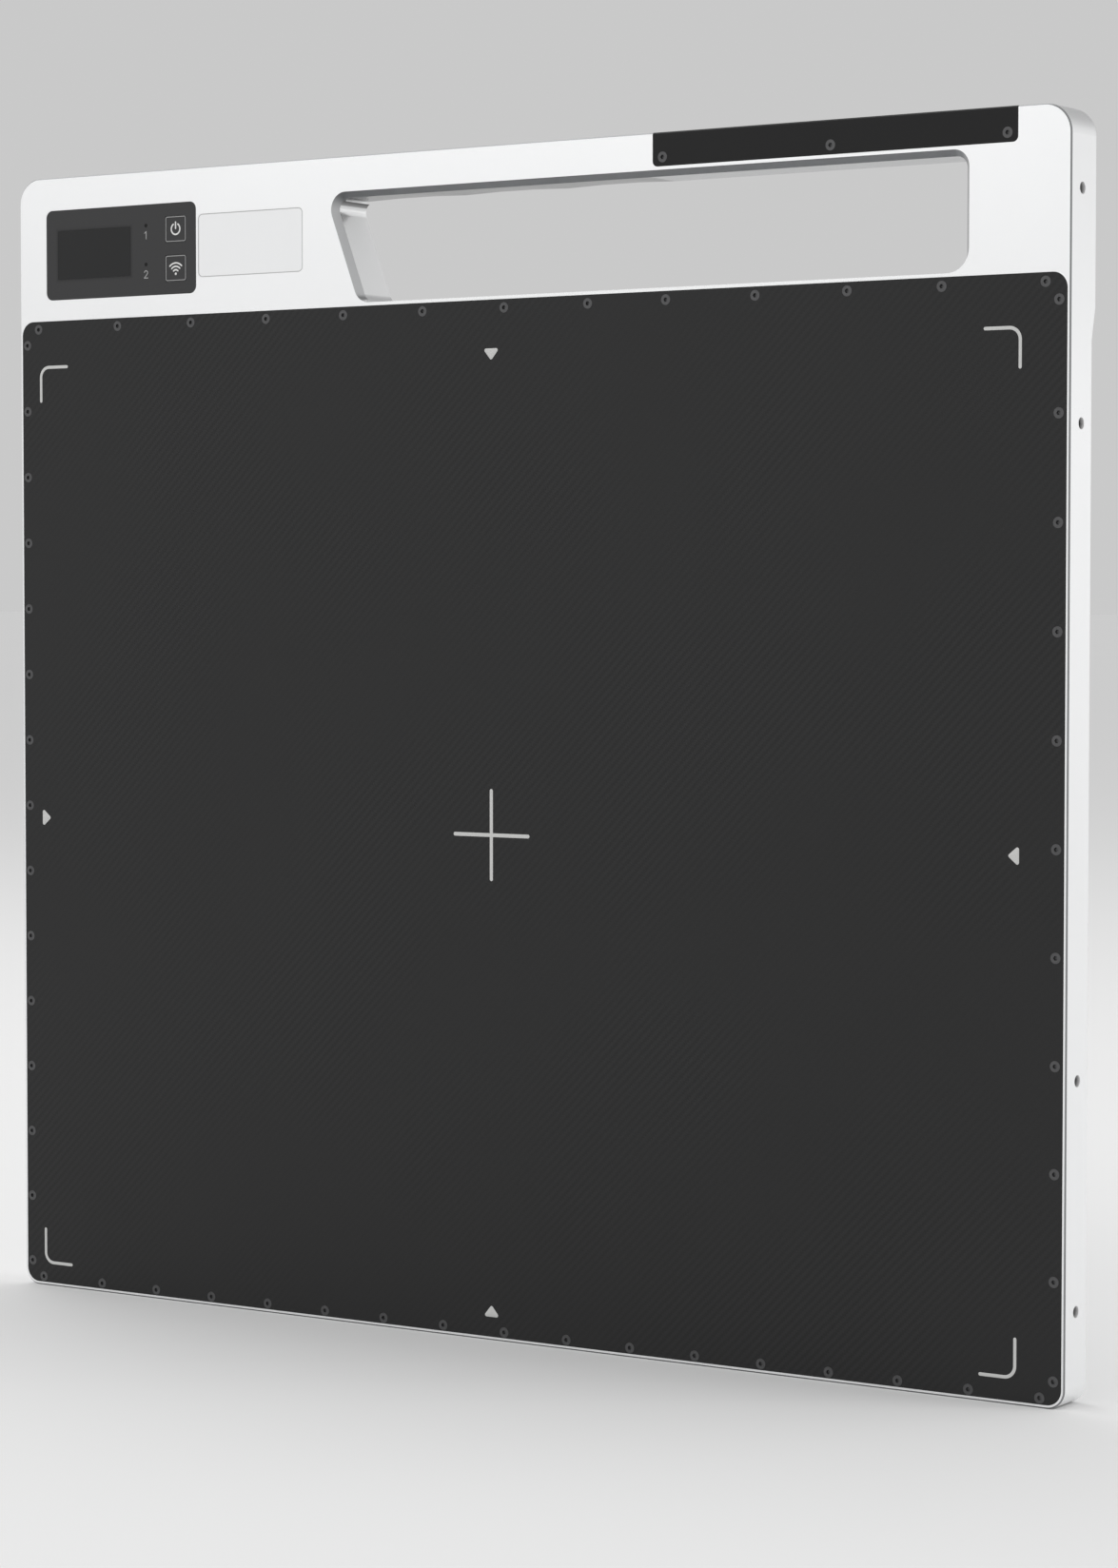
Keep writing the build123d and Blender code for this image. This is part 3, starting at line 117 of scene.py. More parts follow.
def between(tree, value, low, high):
    """1 where a value lies between two numbers, and 0 elsewhere."""
    return calculate(tree, "MULTIPLY", calculate(tree, "GREATER_THAN", value, low),
                     calculate(tree, "LESS_THAN", value, high))


def blend_colors(tree, factor, first, second):
    """Two colours mixed by a factor. Each colour is three numbers or another node's output."""
    node = add_node(tree, "ShaderNodeMix", data_type="RGBA")
    tree.links.new(factor, node.inputs["Factor"])
    for socket, color in ((node.inputs[6], first), (node.inputs[7], second)):
        if isinstance(color, tuple):
            socket.default_value = (*color, 1)
        else:
            tree.links.new(color, socket)
    return node.outputs[2]


def new_group(name, inputs, outputs):
    """An empty shader group. Inputs are names with defaults, and outputs are names with socket types."""
    tree = bpy.data.node_groups.new(name, "ShaderNodeTree")
    for label, default in inputs.items():
        kind = "NodeSocketColor" if isinstance(default, tuple) else "NodeSocketFloat"
        tree.interface.new_socket(label, in_out="INPUT", socket_type=kind).default_value = default
    for label, kind in outputs.items():
        tree.interface.new_socket(label, in_out="OUTPUT", socket_type="NodeSocket" + kind)
    return tree, tree.nodes.new("NodeGroupInput").outputs, tree.nodes.new("NodeGroupOutput").inputs


def use_group(tree, group, **values):
    """A group in a tree, with numbers or colours for its inputs. Returns its outputs."""
    node = add_node(tree, "ShaderNodeGroup", node_tree=group)
    for key, value in values.items():
        node.inputs[key.replace("_", " ")].default_value = value
    return node.outputs


def split_coordinates(tree, output="Object"):
    """The X, Y and Z of an output of the texture coordinates."""
    split = tree.nodes.new("ShaderNodeSeparateXYZ")
    tree.links.new(tree.nodes.new("ShaderNodeTexCoord").outputs[output], split.inputs[0])
    return split.outputs


def object_noise(tree, scale, **values):
    """Noise on the object's own coordinates. The scale is a number of waves per metre or an output."""
    noise = add_node(tree, "ShaderNodeTexNoise", **values)
    tree.links.new(tree.nodes.new("ShaderNodeTexCoord").outputs["Object"], noise.inputs["Vector"])
    if isinstance(scale, (int, float)):
        noise.inputs["Scale"].default_value = scale
    else:
        tree.links.new(scale, noise.inputs["Scale"])
    return noise.outputs[0]


# Fine noise gives the height. Fine and slow noise together give a roughness between two values.
slow_scale, fine_share = 14.0, 0.6
grain_group, given, result = new_group(
    "surface grain", {"Scale": 900.0, "Smoothest": 0.3, "Roughest": 0.45},
    {"Height": "Float", "Roughness": "Float"})
fine = object_noise(grain_group, given["Scale"], Detail=3.0, Roughness=0.6)
slow = object_noise(grain_group, slow_scale, Detail=3.0)
slow_part = calculate(grain_group, "MULTIPLY", slow, 1 - fine_share)
mixed = calculate(grain_group, "MULTIPLY_ADD", fine, fine_share, slow_part)
spread = add_node(grain_group, "ShaderNodeMapRange", From_Min=0.3, From_Max=0.7)
grain_group.links.new(mixed, spread.inputs["Value"])
grain_group.links.new(given["Smoothest"], spread.inputs["To Min"])
grain_group.links.new(given["Roughest"], spread.inputs["To Max"])
grain_group.links.new(fine, result["Height"])
grain_group.links.new(spread.outputs[0], result["Roughness"])

# A cloudy noise makes the colour lighter and darker, by up to the amount to either side.
uneven_group, given, result = new_group(
    "uneven colour", {"Color": (0.5, 0.5, 0.5, 1.0), "Amount": 0.06, "Scale": 25.0}, {"Color": "Color"})
cloud = object_noise(uneven_group, given["Scale"], Detail=5.0, Roughness=0.6)
share = calculate(uneven_group, "MULTIPLY", calculate(uneven_group, "SUBTRACT", cloud, 0.5), given["Amount"])
scaled = add_node(uneven_group, "ShaderNodeVectorMath", operation="SCALE")
uneven_group.links.new(given["Color"], scaled.inputs[0])
uneven_group.links.new(calculate(uneven_group, "MULTIPLY_ADD", share, 2.0, 1.0), scaled.inputs["Scale"])
uneven_group.links.new(scaled.outputs[0], result["Color"])


def finish_material(name, color, smoothest, roughest, grain=900.0, bump=0.1, relief=0.02, uneven=0.06,
                    cloud=25.0, **settings):
    """A material with grain, relief in millimetres and uneven colour. Settings are shader inputs."""
    material = bpy.data.materials.new(name)
    material.use_nodes = True
    tree = material.node_tree
    shader = tree.nodes["Principled BSDF"]
    for label, value in settings.items():
        shader.inputs[label.replace("_", " ")].default_value = value
    texture = use_group(tree, grain_group, Scale=grain, Smoothest=smoothest, Roughest=roughest)
    tree.links.new(texture["Roughness"], shader.inputs["Roughness"])
    tint = use_group(tree, uneven_group, Color=(*color, 1.0), Amount=uneven, Scale=cloud)
    tree.links.new(tint["Color"], shader.inputs["Base Color"])
    surface = add_node(tree, "ShaderNodeBump", Strength=bump, Distance=relief * MM)
    tree.links.new(texture["Height"], surface.inputs["Height"])
    tree.links.new(surface.outputs["Normal"], shader.inputs["Normal"])
    return material


def parts_of(material):
    """The tree of a material, its shader, and what gives its base colour and its normal."""
    tree = material.node_tree
    shader = tree.nodes["Principled BSDF"]
    return tree, shader, *(shader.inputs[x].links[0].from_socket for x in ("Base Color", "Normal"))


def dress(material, *names):
    """Give CAD nodes this material in place of their own."""
    for name in names:
        slots = nodes[name].data.materials
        for index in range(len(slots)):
            slots[index] = material


# Painted shade and the smoother walls of the opening go by where the surface lies and which way it faces.
opening_left, opening_right, opening_low, opening_high = -81.0 * MM, 193.0 * MM, 381.8 * MM, 426.2 * MM
scallops_left, scallops_right = -74.1 * MM, 63.0 * MM
bore_end, bore_front, bore_back = 221.5 * MM, -3.4 * MM, 0.8 * MM
mouth_inner, mouth_outer = 228.0 * MM, 229.8 * MM
# How far a surface faces along an axis: 1 is straight along it, 0 square to it and -1 straight against it.
edge_front, edge_back, wall_back = -0.93, -0.3, 0.6
left_limit, level_limit = -0.3, 0.2
left_share = 0.6
shade_and_gloss_places = ("Rim", "Chamfer", "Shaded chamfer", "Wall", "Ceiling", "Grip", "Bore", "Bore mouth")
shade_and_gloss_group, _, result = new_group("painted shade and gloss places", {}, dict.fromkeys(shade_and_gloss_places, "Float"))
x, y, z = split_coordinates(shade_and_gloss_group)
facing_x, facing_y, facing_z = split_coordinates(shade_and_gloss_group, "Normal")
edge = between(shade_and_gloss_group, facing_y, edge_front, edge_back)
in_opening = calculate(shade_and_gloss_group, "MULTIPLY", between(shade_and_gloss_group, x, opening_left, opening_right),
                       between(shade_and_gloss_group, z, opening_low, opening_high))
chamfer = calculate(shade_and_gloss_group, "MULTIPLY", in_opening, edge)
turned_down = add_node(shade_and_gloss_group, "ShaderNodeMapRange", From_Min=-0.1, From_Max=-0.7)
shade_and_gloss_group.links.new(facing_z, turned_down.inputs["Value"])
faces_left = calculate(shade_and_gloss_group, "LESS_THAN", facing_x, left_limit)
turned_left = calculate(shade_and_gloss_group, "MULTIPLY", faces_left, left_share)
shaded_chamfer = calculate(shade_and_gloss_group, "MULTIPLY", chamfer,
                          calculate(shade_and_gloss_group, "MAXIMUM", turned_down.outputs[0], turned_left))
rim = calculate(shade_and_gloss_group, "SUBTRACT", edge, chamfer)
wall = calculate(shade_and_gloss_group, "MULTIPLY", in_opening, between(shade_and_gloss_group, facing_y, edge_back, wall_back))
ceiling = calculate(shade_and_gloss_group, "MULTIPLY", wall, turned_down.outputs[0])
grip = calculate(shade_and_gloss_group, "MULTIPLY", ceiling, between(shade_and_gloss_group, x, scallops_left, scallops_right))
from_middle = calculate(shade_and_gloss_group, "ABSOLUTE", x)
in_bores = calculate(shade_and_gloss_group, "MULTIPLY", calculate(shade_and_gloss_group, "GREATER_THAN", from_middle, bore_end),
                     between(shade_and_gloss_group, y, bore_front, bore_back))
bore = calculate(shade_and_gloss_group, "MULTIPLY", in_bores, between(shade_and_gloss_group, facing_x, -level_limit, level_limit))
near_mouth = add_node(shade_and_gloss_group, "ShaderNodeMapRange", From_Min=mouth_inner, From_Max=mouth_outer)
shade_and_gloss_group.links.new(from_middle, near_mouth.inputs["Value"])
bore_mouth = calculate(shade_and_gloss_group, "MULTIPLY", bore, near_mouth.outputs[0])
masks = (rim, chamfer, shaded_chamfer, wall, ceiling, grip, bore, bore_mouth)
for place, mask in zip(shade_and_gloss_places, masks):
    shade_and_gloss_group.links.new(mask, result[place])

coat_metallic, wall_gloss = 0.75, 0.35
white_coat = finish_material("white coat", (0.93, 0.935, 0.94), 0.27, 0.35, grain=2600.0, bump=0.12,
                             relief=0.01, uneven=0.012, Metallic=coat_metallic)
tree, shader, color, _ = parts_of(white_coat)
shade_and_gloss = use_group(tree, shade_and_gloss_group)
# Painted shade tints: edges, upper wall, scallops and side holes; the holes lighten towards their mouths.
for place, tint in (("Ceiling", (0.45, 0.455, 0.46)), ("Grip", (0.12, 0.12, 0.12)),
                    ("Rim", (0.25, 0.255, 0.26)), ("Chamfer", (0.49, 0.495, 0.50)),
                    ("Shaded chamfer", (0.17, 0.175, 0.18)), ("Bore", (0.05, 0.05, 0.05)),
                    ("Bore mouth", (0.9, 0.9, 0.9))):
    color = blend_colors(tree, shade_and_gloss[place], color, tint)
coated = calculate(tree, "MULTIPLY_ADD", shade_and_gloss["Bore"], -coat_metallic, coat_metallic)
tree.links.new(coated, shader.inputs["Metallic"])
tree.links.new(color, shader.inputs["Base Color"])
smoother = calculate(tree, "MULTIPLY_ADD", shade_and_gloss["Wall"], -wall_gloss, 1.0)
tree.links.new(calculate(tree, "MULTIPLY", shader.inputs["Roughness"].links[0].from_socket, smoother),
               shader.inputs["Roughness"])
dress(white_coat, "front_frame", "rear_cover", "display_bay_cover")


# Picture layers
# Behind the front plate lie foam, the scintillator on the sensor glass, the lead sheet and the chassis of
# light alloy. They are glued and screwed to one another as one flat stack.
foam = finish_material("dark foam", (0.035, 0.035, 0.037), 0.9, 0.97, grain=5200.0, bump=0.8, relief=0.08,
                       uneven=0.2)
scintillator_white = finish_material("scintillator coat", (0.78, 0.78, 0.72), 0.6, 0.7, grain=3000.0,
                                     uneven=0.04)
sensor_coat = finish_material("sensor glass", (0.10, 0.085, 0.13), 0.06, 0.12, grain=200.0, bump=0.01,
                              uneven=0.15, cloud=6.0, Specular_IOR_Level=0.7)
lead = finish_material("lead sheet", (0.20, 0.205, 0.22), 0.5, 0.7, grain=700.0, bump=0.3, uneven=0.25,
                       Metallic=0.9)
alloy = finish_material("milled alloy", (0.70, 0.71, 0.72), 0.28, 0.42, grain=1500.0, bump=0.2, uneven=0.08,
                        Metallic=1.0)
seal = finish_material("silicone seal", (0.03, 0.03, 0.03), 0.6, 0.7, grain=1200.0, uneven=0.1)
steel = finish_material("zinc plated screws", (0.62, 0.62, 0.60), 0.25, 0.4, grain=2600.0, uneven=0.1,
                        Metallic=1.0)
dress(foam, "shock_foam", "display_foam")
dress(scintillator_white, "scintillator")
dress(sensor_coat, "sensor_glass")
dress(lead, "lead_shield")
dress(alloy, "support_chassis")
dress(seal, "cover_gaskets")
dress(steel, "chassis_screws", "board_screws", "control_board_screws")


# Boards, films and cables
# Green boards stand on brass posts behind the chassis. Amber films carry the driver chips round the edges
# of the glass. The tracks on the boards show through the green coat as a raised pattern.
track_height = 0.03 * MM
track_group, given, result = new_group(
    "board tracks", {"Coat": (0.01, 0.1, 0.05, 1.0), "Track": (0.03, 0.2, 0.1, 1.0)},
    {"Color": "Color", "Height": "Float"})
bricks = add_node(track_group, "ShaderNodeTexBrick", Scale=300.0, Mortar_Size=0.035, Brick_Width=3.5,
                  Row_Height=0.5)
turned = track_group.nodes.new("ShaderNodeCombineXYZ")
x, _, z = split_coordinates(track_group)
track_group.links.new(x, turned.inputs["X"])
track_group.links.new(z, turned.inputs["Y"])
track_group.links.new(turned.outputs[0], bricks.inputs["Vector"])
broken = calculate(track_group, "GREATER_THAN", object_noise(track_group, 90.0, Detail=1.0), 0.5)
track = calculate(track_group, "MULTIPLY", bricks.outputs["Fac"], broken)
track_group.links.new(blend_colors(track_group, track, given["Coat"], given["Track"]), result["Color"])
track_group.links.new(track, result["Height"])


def tracked_material(name, coat, track_color, **settings):
    """A finish with board tracks as its colour and as a relief."""
    material = finish_material(name, coat, 0.3, 0.4, **settings)
    tree, shader, _, normal = parts_of(material)
    tracks = use_group(tree, track_group, Coat=(*coat, 1.0), Track=(*track_color, 1.0))
    tree.links.new(tracks["Color"], shader.inputs["Base Color"])
    raised = add_node(tree, "ShaderNodeBump", Strength=0.5, Distance=track_height)
    tree.links.new(tracks["Height"], raised.inputs["Height"])
    tree.links.new(normal, raised.inputs["Normal"])
    tree.links.new(raised.outputs["Normal"], shader.inputs["Normal"])
    return material


board_green = tracked_material("board", (0.008, 0.085, 0.045), (0.02, 0.17, 0.085))
film_amber = tracked_material("circuit film", (0.42, 0.17, 0.02), (0.50, 0.24, 0.05), Coat_Weight=0.3)
brass = finish_material("brass posts", (0.75, 0.55, 0.25), 0.2, 0.35, grain=2000.0, uneven=0.1, Metallic=1.0)
chip = finish_material("chip resin", (0.018, 0.018, 0.019), 0.45, 0.6, grain=4000.0, uneven=0.1)
tinned = finish_material("tinned steel", (0.66, 0.66, 0.65), 0.2, 0.35, grain=900.0, uneven=0.1,
                         Metallic=1.0)
connector = finish_material("connector plastic", (0.70, 0.68, 0.60), 0.4, 0.5, grain=2500.0, uneven=0.05)
ribbon = finish_material("flat cable", (0.72, 0.73, 0.74), 0.35, 0.5, grain=1500.0, uneven=0.06)
coax = finish_material("coax jacket", (0.02, 0.02, 0.02), 0.35, 0.5, grain=2500.0, uneven=0.1)
copper = finish_material("antenna copper", (0.72, 0.38, 0.22), 0.25, 0.4, grain=1200.0, uneven=0.12,
                         Metallic=1.0)
dress(board_green, "control_board", "readout_boards", "gate_board", "main_board", "power_board",
      "battery_protection_board")
dress(film_amber, "readout_flexes", "gate_flexes")
dress(brass, "board_standoffs")
dress(chip, "film_chips", "board_chips", "power_inductors", "switch_bodies", "display_module")
dress(tinned, "shield_can", "radio_module")
dress(connector, "board_connectors", "battery_connector", "cable_plugs", "status_leds")
dress(ribbon, "board_cables", "control_cable")
dress(coax, "antenna_cables")
dress(copper, "antennas")


# Battery bay
# A black moulded tray behind the rear cover, with sprung gold contacts.
# A bowed leaf of spring steel lies between each latch and the end of its pocket, built bowed as before the
# latch presses it flat.
def grid_mesh(name, points, across=False, along=False):
    """A mesh from an array of rows, columns and three values.

    Across joins the last row to the first, and along joins the end of each row to its start.
    """
    rows, columns = points.shape[:2]
    i, j = np.meshgrid(np.arange(rows - (not across)), np.arange(columns - (not along)), indexing="ij")
    i, j = i.ravel(), j.ravel()
    i2, j2 = (i + 1) % rows, (j + 1) % columns
    faces = np.stack([i * columns + j, i2 * columns + j, i2 * columns + j2, i * columns + j2], axis=1)
    mesh = bpy.data.meshes.new(name)
    mesh.vertices.add(rows * columns)
    mesh.vertices.foreach_set("co", points.reshape(-1).astype(np.float32))
    mesh.loops.add(faces.size)
    mesh.polygons.add(len(faces))
    mesh.loops.foreach_set("vertex_index", faces.ravel().astype(np.int32))
    mesh.polygons.foreach_set("loop_start", np.arange(0, faces.size, 4, dtype=np.int32))
    mesh.update(calc_edges=True)
    return mesh


def joined(name, meshes, material, body="housing"):
    """Several meshes made one object, doubles merged, that rides on a body."""
    whole = bmesh.new()
    for mesh in meshes:
        whole.from_mesh(mesh)
        bpy.data.meshes.remove(mesh)
    bmesh.ops.remove_doubles(whole, verts=whole.verts, dist=1e-7)
    mesh = bpy.data.meshes.new(name)
    whole.to_mesh(mesh)
    whole.free()
    mesh.materials.append(material)
    piece = bpy.data.objects.new(name, mesh)
    bpy.context.scene.collection.objects.link(piece)
    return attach(piece, body)


def leaf_spring(side, name, thickness=0.2 * MM, count=41):
    """A bowed strip: its distance from its crown grows with the square of the height from its middle."""
    low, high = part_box(name)
    half_way = (low.z + high.z) / 2
    fixed, crown = (low.x, high.x) if side < 0 else (high.x, low.x)
    share = np.linspace(-1, 1, count)
    z = half_way + share * (high.z - low.z) / 2
    x = crown + (fixed - side * thickness - crown) * share ** 2
    corners = ((0, low.y), (0, high.y), (side * thickness, high.y), (side * thickness, low.y))
    rows = np.stack([np.stack([x + dx, np.full(count, y), z], axis=1) for dx, y in corners])
    middle = rows.mean(axis=0, keepdims=True)
    rows = np.concatenate([np.repeat(middle[:, :1], 4, 0), rows, np.repeat(middle[:, -1:], 4, 0)], axis=1)
    leaf = grid_mesh("leaf", rows, across=True)
    piece = joined(name.replace("latch_spring", "leaf_spring"), [leaf], spring_steel)
    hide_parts(name)
    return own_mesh(piece)


spring_steel = finish_material("spring steel", (0.50, 0.49, 0.47), 0.2, 0.3, grain=900.0, uneven=0.1,
                               Metallic=1.0)
tray_plastic = finish_material("tray plastic", (0.022, 0.022, 0.023), 0.5, 0.62, grain=1500.0, bump=0.25,
                               uneven=0.1)
gold = finish_material("gold contacts", (0.83, 0.62, 0.27), 0.15, 0.25, grain=2500.0, uneven=0.1,
                       Metallic=1.0)
dress(tray_plastic, "battery_tray")
dress(gold, "battery_contact_pins", "battery_terminals")
leaf_spring(-1, "latch_spring_left")
leaf_spring(1, "latch_spring_right")


# Battery pack and latches
# A flat pack in dark grey moulded plastic, flush with the back, held by a sliding latch at each side.
# The moulds leave a fine spark-eroded texture.
pack_plastic = finish_material("battery plastic", (0.055, 0.056, 0.058), 0.5, 0.62, grain=1700.0, bump=0.4,
                               relief=0.03, uneven=0.08)
latch_plastic = finish_material("latch plastic", (0.16, 0.165, 0.17), 0.42, 0.55, grain=1900.0, bump=0.3,
                                uneven=0.06)
cell_foil = finish_material("cell foil", (0.62, 0.63, 0.65), 0.2, 0.35, grain=300.0, bump=0.3, relief=0.05,
                            uneven=0.1, Metallic=0.9)
dress(pack_plastic, "battery_case", "battery_lid")
dress(latch_plastic, "battery_latch_left", "battery_latch_right", "power_plunger", "wireless_plunger")
dress(cell_foil, "battery_cells")


# Front plate
# Carbon-fibre laminate: tows woven two over and two under, under a thin satin resin.
# The weave shows only faintly, as fine lines that climb to the right, here stronger and there weaker.
fibres_across, fibres_along, fibre_contrast = 9300.0, 300.0, 0.10


def tow_crown(tree, way):
    """The height across one tow: the sine of half a turn over its width."""
    return calculate(tree, "SINE", calculate(tree, "MULTIPLY", calculate(tree, "FRACT", way), float(np.pi)))


weave_group, given, result = new_group(
    "twill weave", {"Tows per metre": 1180.0}, {"Height": "Float", "Warp": "Float", "Fibre": "Float"})
x, _, z = split_coordinates(weave_group)
across = calculate(weave_group, "MULTIPLY", x, given["Tows per metre"])
upward = calculate(weave_group, "MULTIPLY", z, given["Tows per metre"])
step = calculate(weave_group, "SUBTRACT", calculate(weave_group, "FLOOR", across),
                 calculate(weave_group, "FLOOR", upward))
# Of every four steps the warp lies on top in the first two.
warp_over = calculate(weave_group, "LESS_THAN", calculate(weave_group, "FLOORED_MODULO", step, 4.0), 1.5)
weft_over = calculate(weave_group, "SUBTRACT", 1.0, warp_over)
warp_crown = calculate(weave_group, "MULTIPLY", tow_crown(weave_group, across), warp_over)
weft_crown = calculate(weave_group, "MULTIPLY", tow_crown(weave_group, upward), weft_over)
crown = calculate(weave_group, "ADD", warp_crown, weft_crown)
# The noise of the fibres is drawn out along the tow that lies on top.
stretch = weave_group.nodes.new("ShaderNodeCombineXYZ")
turn_over = fibres_across - fibres_along
for label, value, change, start in (("X", x, turn_over, fibres_along), ("Z", z, -turn_over, fibres_across)):
    amount = calculate(weave_group, "MULTIPLY_ADD", warp_over, change, start)
    weave_group.links.new(calculate(weave_group, "MULTIPLY", value, amount), stretch.inputs[label])
fibre = add_node(weave_group, "ShaderNodeTexNoise", Scale=1.0, Detail=2.0)
weave_group.links.new(stretch.outputs[0], fibre.inputs["Vector"])
for label, value in (("Height", crown), ("Warp", warp_over), ("Fibre", fibre.outputs[0])):
    weave_group.links.new(value, result[label])

carbon = finish_material("carbon plate", (0.0170, 0.0171, 0.0174), 0.40, 0.52, grain=1500.0, bump=0.2,
                         uneven=0.08, cloud=9.0, Specular_IOR_Level=0.24)
tree, shader, color, normal = parts_of(carbon)
weave = use_group(tree, weave_group)
patches = add_node(tree, "ShaderNodeMapRange", From_Min=0.4, From_Max=0.62, To_Min=0.05, To_Max=0.27)
tree.links.new(object_noise(tree, 11.0, Detail=1.0), patches.inputs["Value"])
lift = calculate(tree, "MULTIPLY", calculate(tree, "SUBTRACT", weave["Warp"], 0.5), patches.outputs[0])
fibre_shade = calculate(tree, "MULTIPLY_ADD", weave["Fibre"], fibre_contrast, 1 - fibre_contrast / 2)
lift = calculate(tree, "ADD", lift, fibre_shade)
woven = add_node(tree, "ShaderNodeVectorMath", operation="SCALE")
tree.links.new(color, woven.inputs[0])
tree.links.new(lift, woven.inputs["Scale"])
tree.links.new(woven.outputs[0], shader.inputs["Base Color"])
tows = add_node(tree, "ShaderNodeBump", Strength=0.15, Distance=0.04 * MM)
tree.links.new(weave["Height"], tows.inputs["Height"])
tree.links.new(normal, tows.inputs["Normal"])
tree.links.new(tows.outputs["Normal"], shader.inputs["Normal"])
dress(carbon, "front_plate")


# Marks on the front plate
# Pale grey screen print: brackets at the corners of the picture, triangles at its middles, and a cross.
# The ink stands 0.03 mm above the plate. Where lines cross, each later one lies 0.004 mm higher.
front_y = cad_low.y
ink_height, ink_layer = 0.03 * MM, 0.004 * MM
# The foot of the ink lies under the face that it is printed on, by this share of its height.
ink_foot = -0.3
end_points, corner_points = 7, 7


def arc(centre, radius, start, end, count=13):
    """Points on a circle, in millimetres, with angles in degrees from the X axis towards Z."""
    turn = np.radians(np.linspace(start, end, count))
    return np.stack([centre[0] + radius * np.cos(turn), centre[1] + radius * np.sin(turn)], axis=1)


def straight(a, b, count=5):
    """Points on the line between two points."""
    share = np.linspace(0, 1, count)[:, None]
    return np.asarray(a, float) * (1 - share) + np.asarray(b, float) * share


def ink(centres, outward, shares, heights, face_y):
    """Ink in rows, each at its share of the way outwards from the middle and at its share of the height."""
    flat = (centres[None] + outward[None] * np.asarray(shares)[:, None, None]) * MM
    depth = np.repeat((face_y - np.asarray(heights) * ink_height)[:, None], flat.shape[1], 1)
    points = np.stack([flat[..., 0], depth, flat[..., 1]], axis=2)
    return grid_mesh("ink", points, along=True)


def stroke(path, width, face_y=front_y):
    """A printed line along an open path, with round ends: out on its right side and back on its left."""
    path = np.asarray(path, float)
    along = np.gradient(path, axis=0)
    along /= np.linalg.norm(along, axis=1)[:, None]
    side = np.stack([along[:, 1], -along[:, 0]], axis=1)
    turn = np.linspace(0, np.pi, end_points + 2)[1:-1, None]
    outward = np.concatenate([side, side[-1] * np.cos(turn) + along[-1] * np.sin(turn),
                              -side[::-1], -side[0] * np.cos(turn) - along[0] * np.sin(turn)])
    centres = np.concatenate([path, np.repeat(path[-1:], end_points, 0),
                              path[::-1], np.repeat(path[:1], end_points, 0)])
    return ink(centres, outward * width / 2, (0, 0.9, 0.97, 1), (1, 1, 0.7, ink_foot), face_y)


def outline(centre, size, radius, width, face_y=front_y):
    """A printed line round a rectangle with round corners. The line's middle has the stated size."""
    half = np.asarray(size) / 2 - radius
    signs = ((1, 1), (-1, 1), (-1, -1), (1, -1))
    corners = np.concatenate([np.repeat([np.asarray(centre) + half * sign], corner_points, 0)
                              for sign in signs])
    quarters = [np.linspace(start, start + 90, corner_points) for start in (0, 90, 180, 270)]
    turn = np.radians(np.concatenate(quarters))
    outward = np.stack([np.cos(turn), np.sin(turn)], axis=1)
    return ink(corners + outward * radius, outward * width / 2, (-1, -0.85, 0.85, 1),
               (ink_foot, 1, 1, ink_foot), face_y)


def filled(points, face_y=front_y):
    """A printed shape with this outline, given counter-clockwise seen from the front."""
    points = np.asarray(points, float)
    middle = points.mean(0)
    centres = np.repeat(middle[None], len(points), 0)
    return ink(centres, points - middle, (0, 0.95, 1), (1, 1, ink_foot), face_y)


def triangle(tip, turn, width=5.9, height=4.7, corner=0.7):
    """The outline of a triangle with round corners, its tip at a point and turned about it by degrees."""
    half = width / 2 - corner
    tip_centre = -1.9 * corner
    centres = ((0, tip_centre), (-half, -height + corner), (half, -height + corner))
    points = np.concatenate([arc(centre, corner, *ends, count=corner_points)
                             for centre, ends in zip(centres, ((30, 150), (150, 270), (270, 390)))])
    angle = np.radians(turn)
    rotation = np.array([(np.cos(angle), np.sin(angle)), (-np.sin(angle), np.cos(angle))])
    return points @ rotation + tip


def ink_finish(name, color, uneven=0.04):
    """Matt printing ink of one colour."""
    return finish_material(name, color, 0.45, 0.6, grain=4000.0, relief=0.005, uneven=uneven)


ink_grey = ink_finish("printed ink", (0.56, 0.56, 0.55), uneven=0.05)
picture_left, picture_right, picture_low, picture_high = -219.4, 211.3, 9.2, 363.6
bracket_arm, bracket_radius, bracket_width = 13.2, 4.0, 1.2
marks = []
for x, sx in ((picture_left, 1), (picture_right, -1)):
    for z, sz in ((picture_low, 1), (picture_high, -1)):
        run = np.concatenate([straight((0, bracket_arm), (0, bracket_radius))[:-1],
                              arc((bracket_radius, bracket_radius), bracket_radius, 180, 270),
                              straight((bracket_radius, 0), (bracket_arm, 0))[1:]]) * (sx, sz) + (x, z)
        marks.append(stroke(run, bracket_width))
middle_x, middle_z, cross_arm, cross_width = -4.0, 186.3, 16.2, 1.4
cross_middle = (middle_x, middle_z)
for layer, arm in enumerate(((cross_arm, 0), (0, cross_arm))):
    line = straight(np.subtract(cross_middle, arm), np.add(cross_middle, arm))
    marks.append(stroke(line, cross_width, front_y - layer * ink_layer))
tip_high, tip_low, tip_left, tip_right = 359.2, 13.3, -215.1, 207.2
for tip, turn in (((middle_x, tip_high), 180), ((middle_x, tip_low), 0),
                  ((tip_left, middle_z), -90), ((tip_right, middle_z), 90)):
    marks.append(filled(triangle(tip, turn)))
joined("plate_marks", marks, ink_grey)


# Screws
# Small countersunk screws with a hexagon socket hold the front plate and the covers.
# They are of blackened steel, a little uneven in tone.
black_screw = finish_material("blackened screws", (0.085, 0.085, 0.087), 0.30, 0.45, grain=3000.0, bump=0.15,
                              uneven=0.2, cloud=400.0, Metallic=0.6)
dress(black_screw, "front_plate_screws", "cover_screws")


# Antenna cover
# Black moulded plastic that lets radio waves through, over the front and the top edge.
# It is held by screws like those of the other covers.
cover_plastic = finish_material("antenna cover plastic", (0.0100, 0.0100, 0.0103), 0.5, 0.62, grain=1800.0,
                                bump=0.35, relief=0.03, uneven=0.08, Specular_IOR_Level=0.22)
dress(cover_plastic, "antenna_cover")
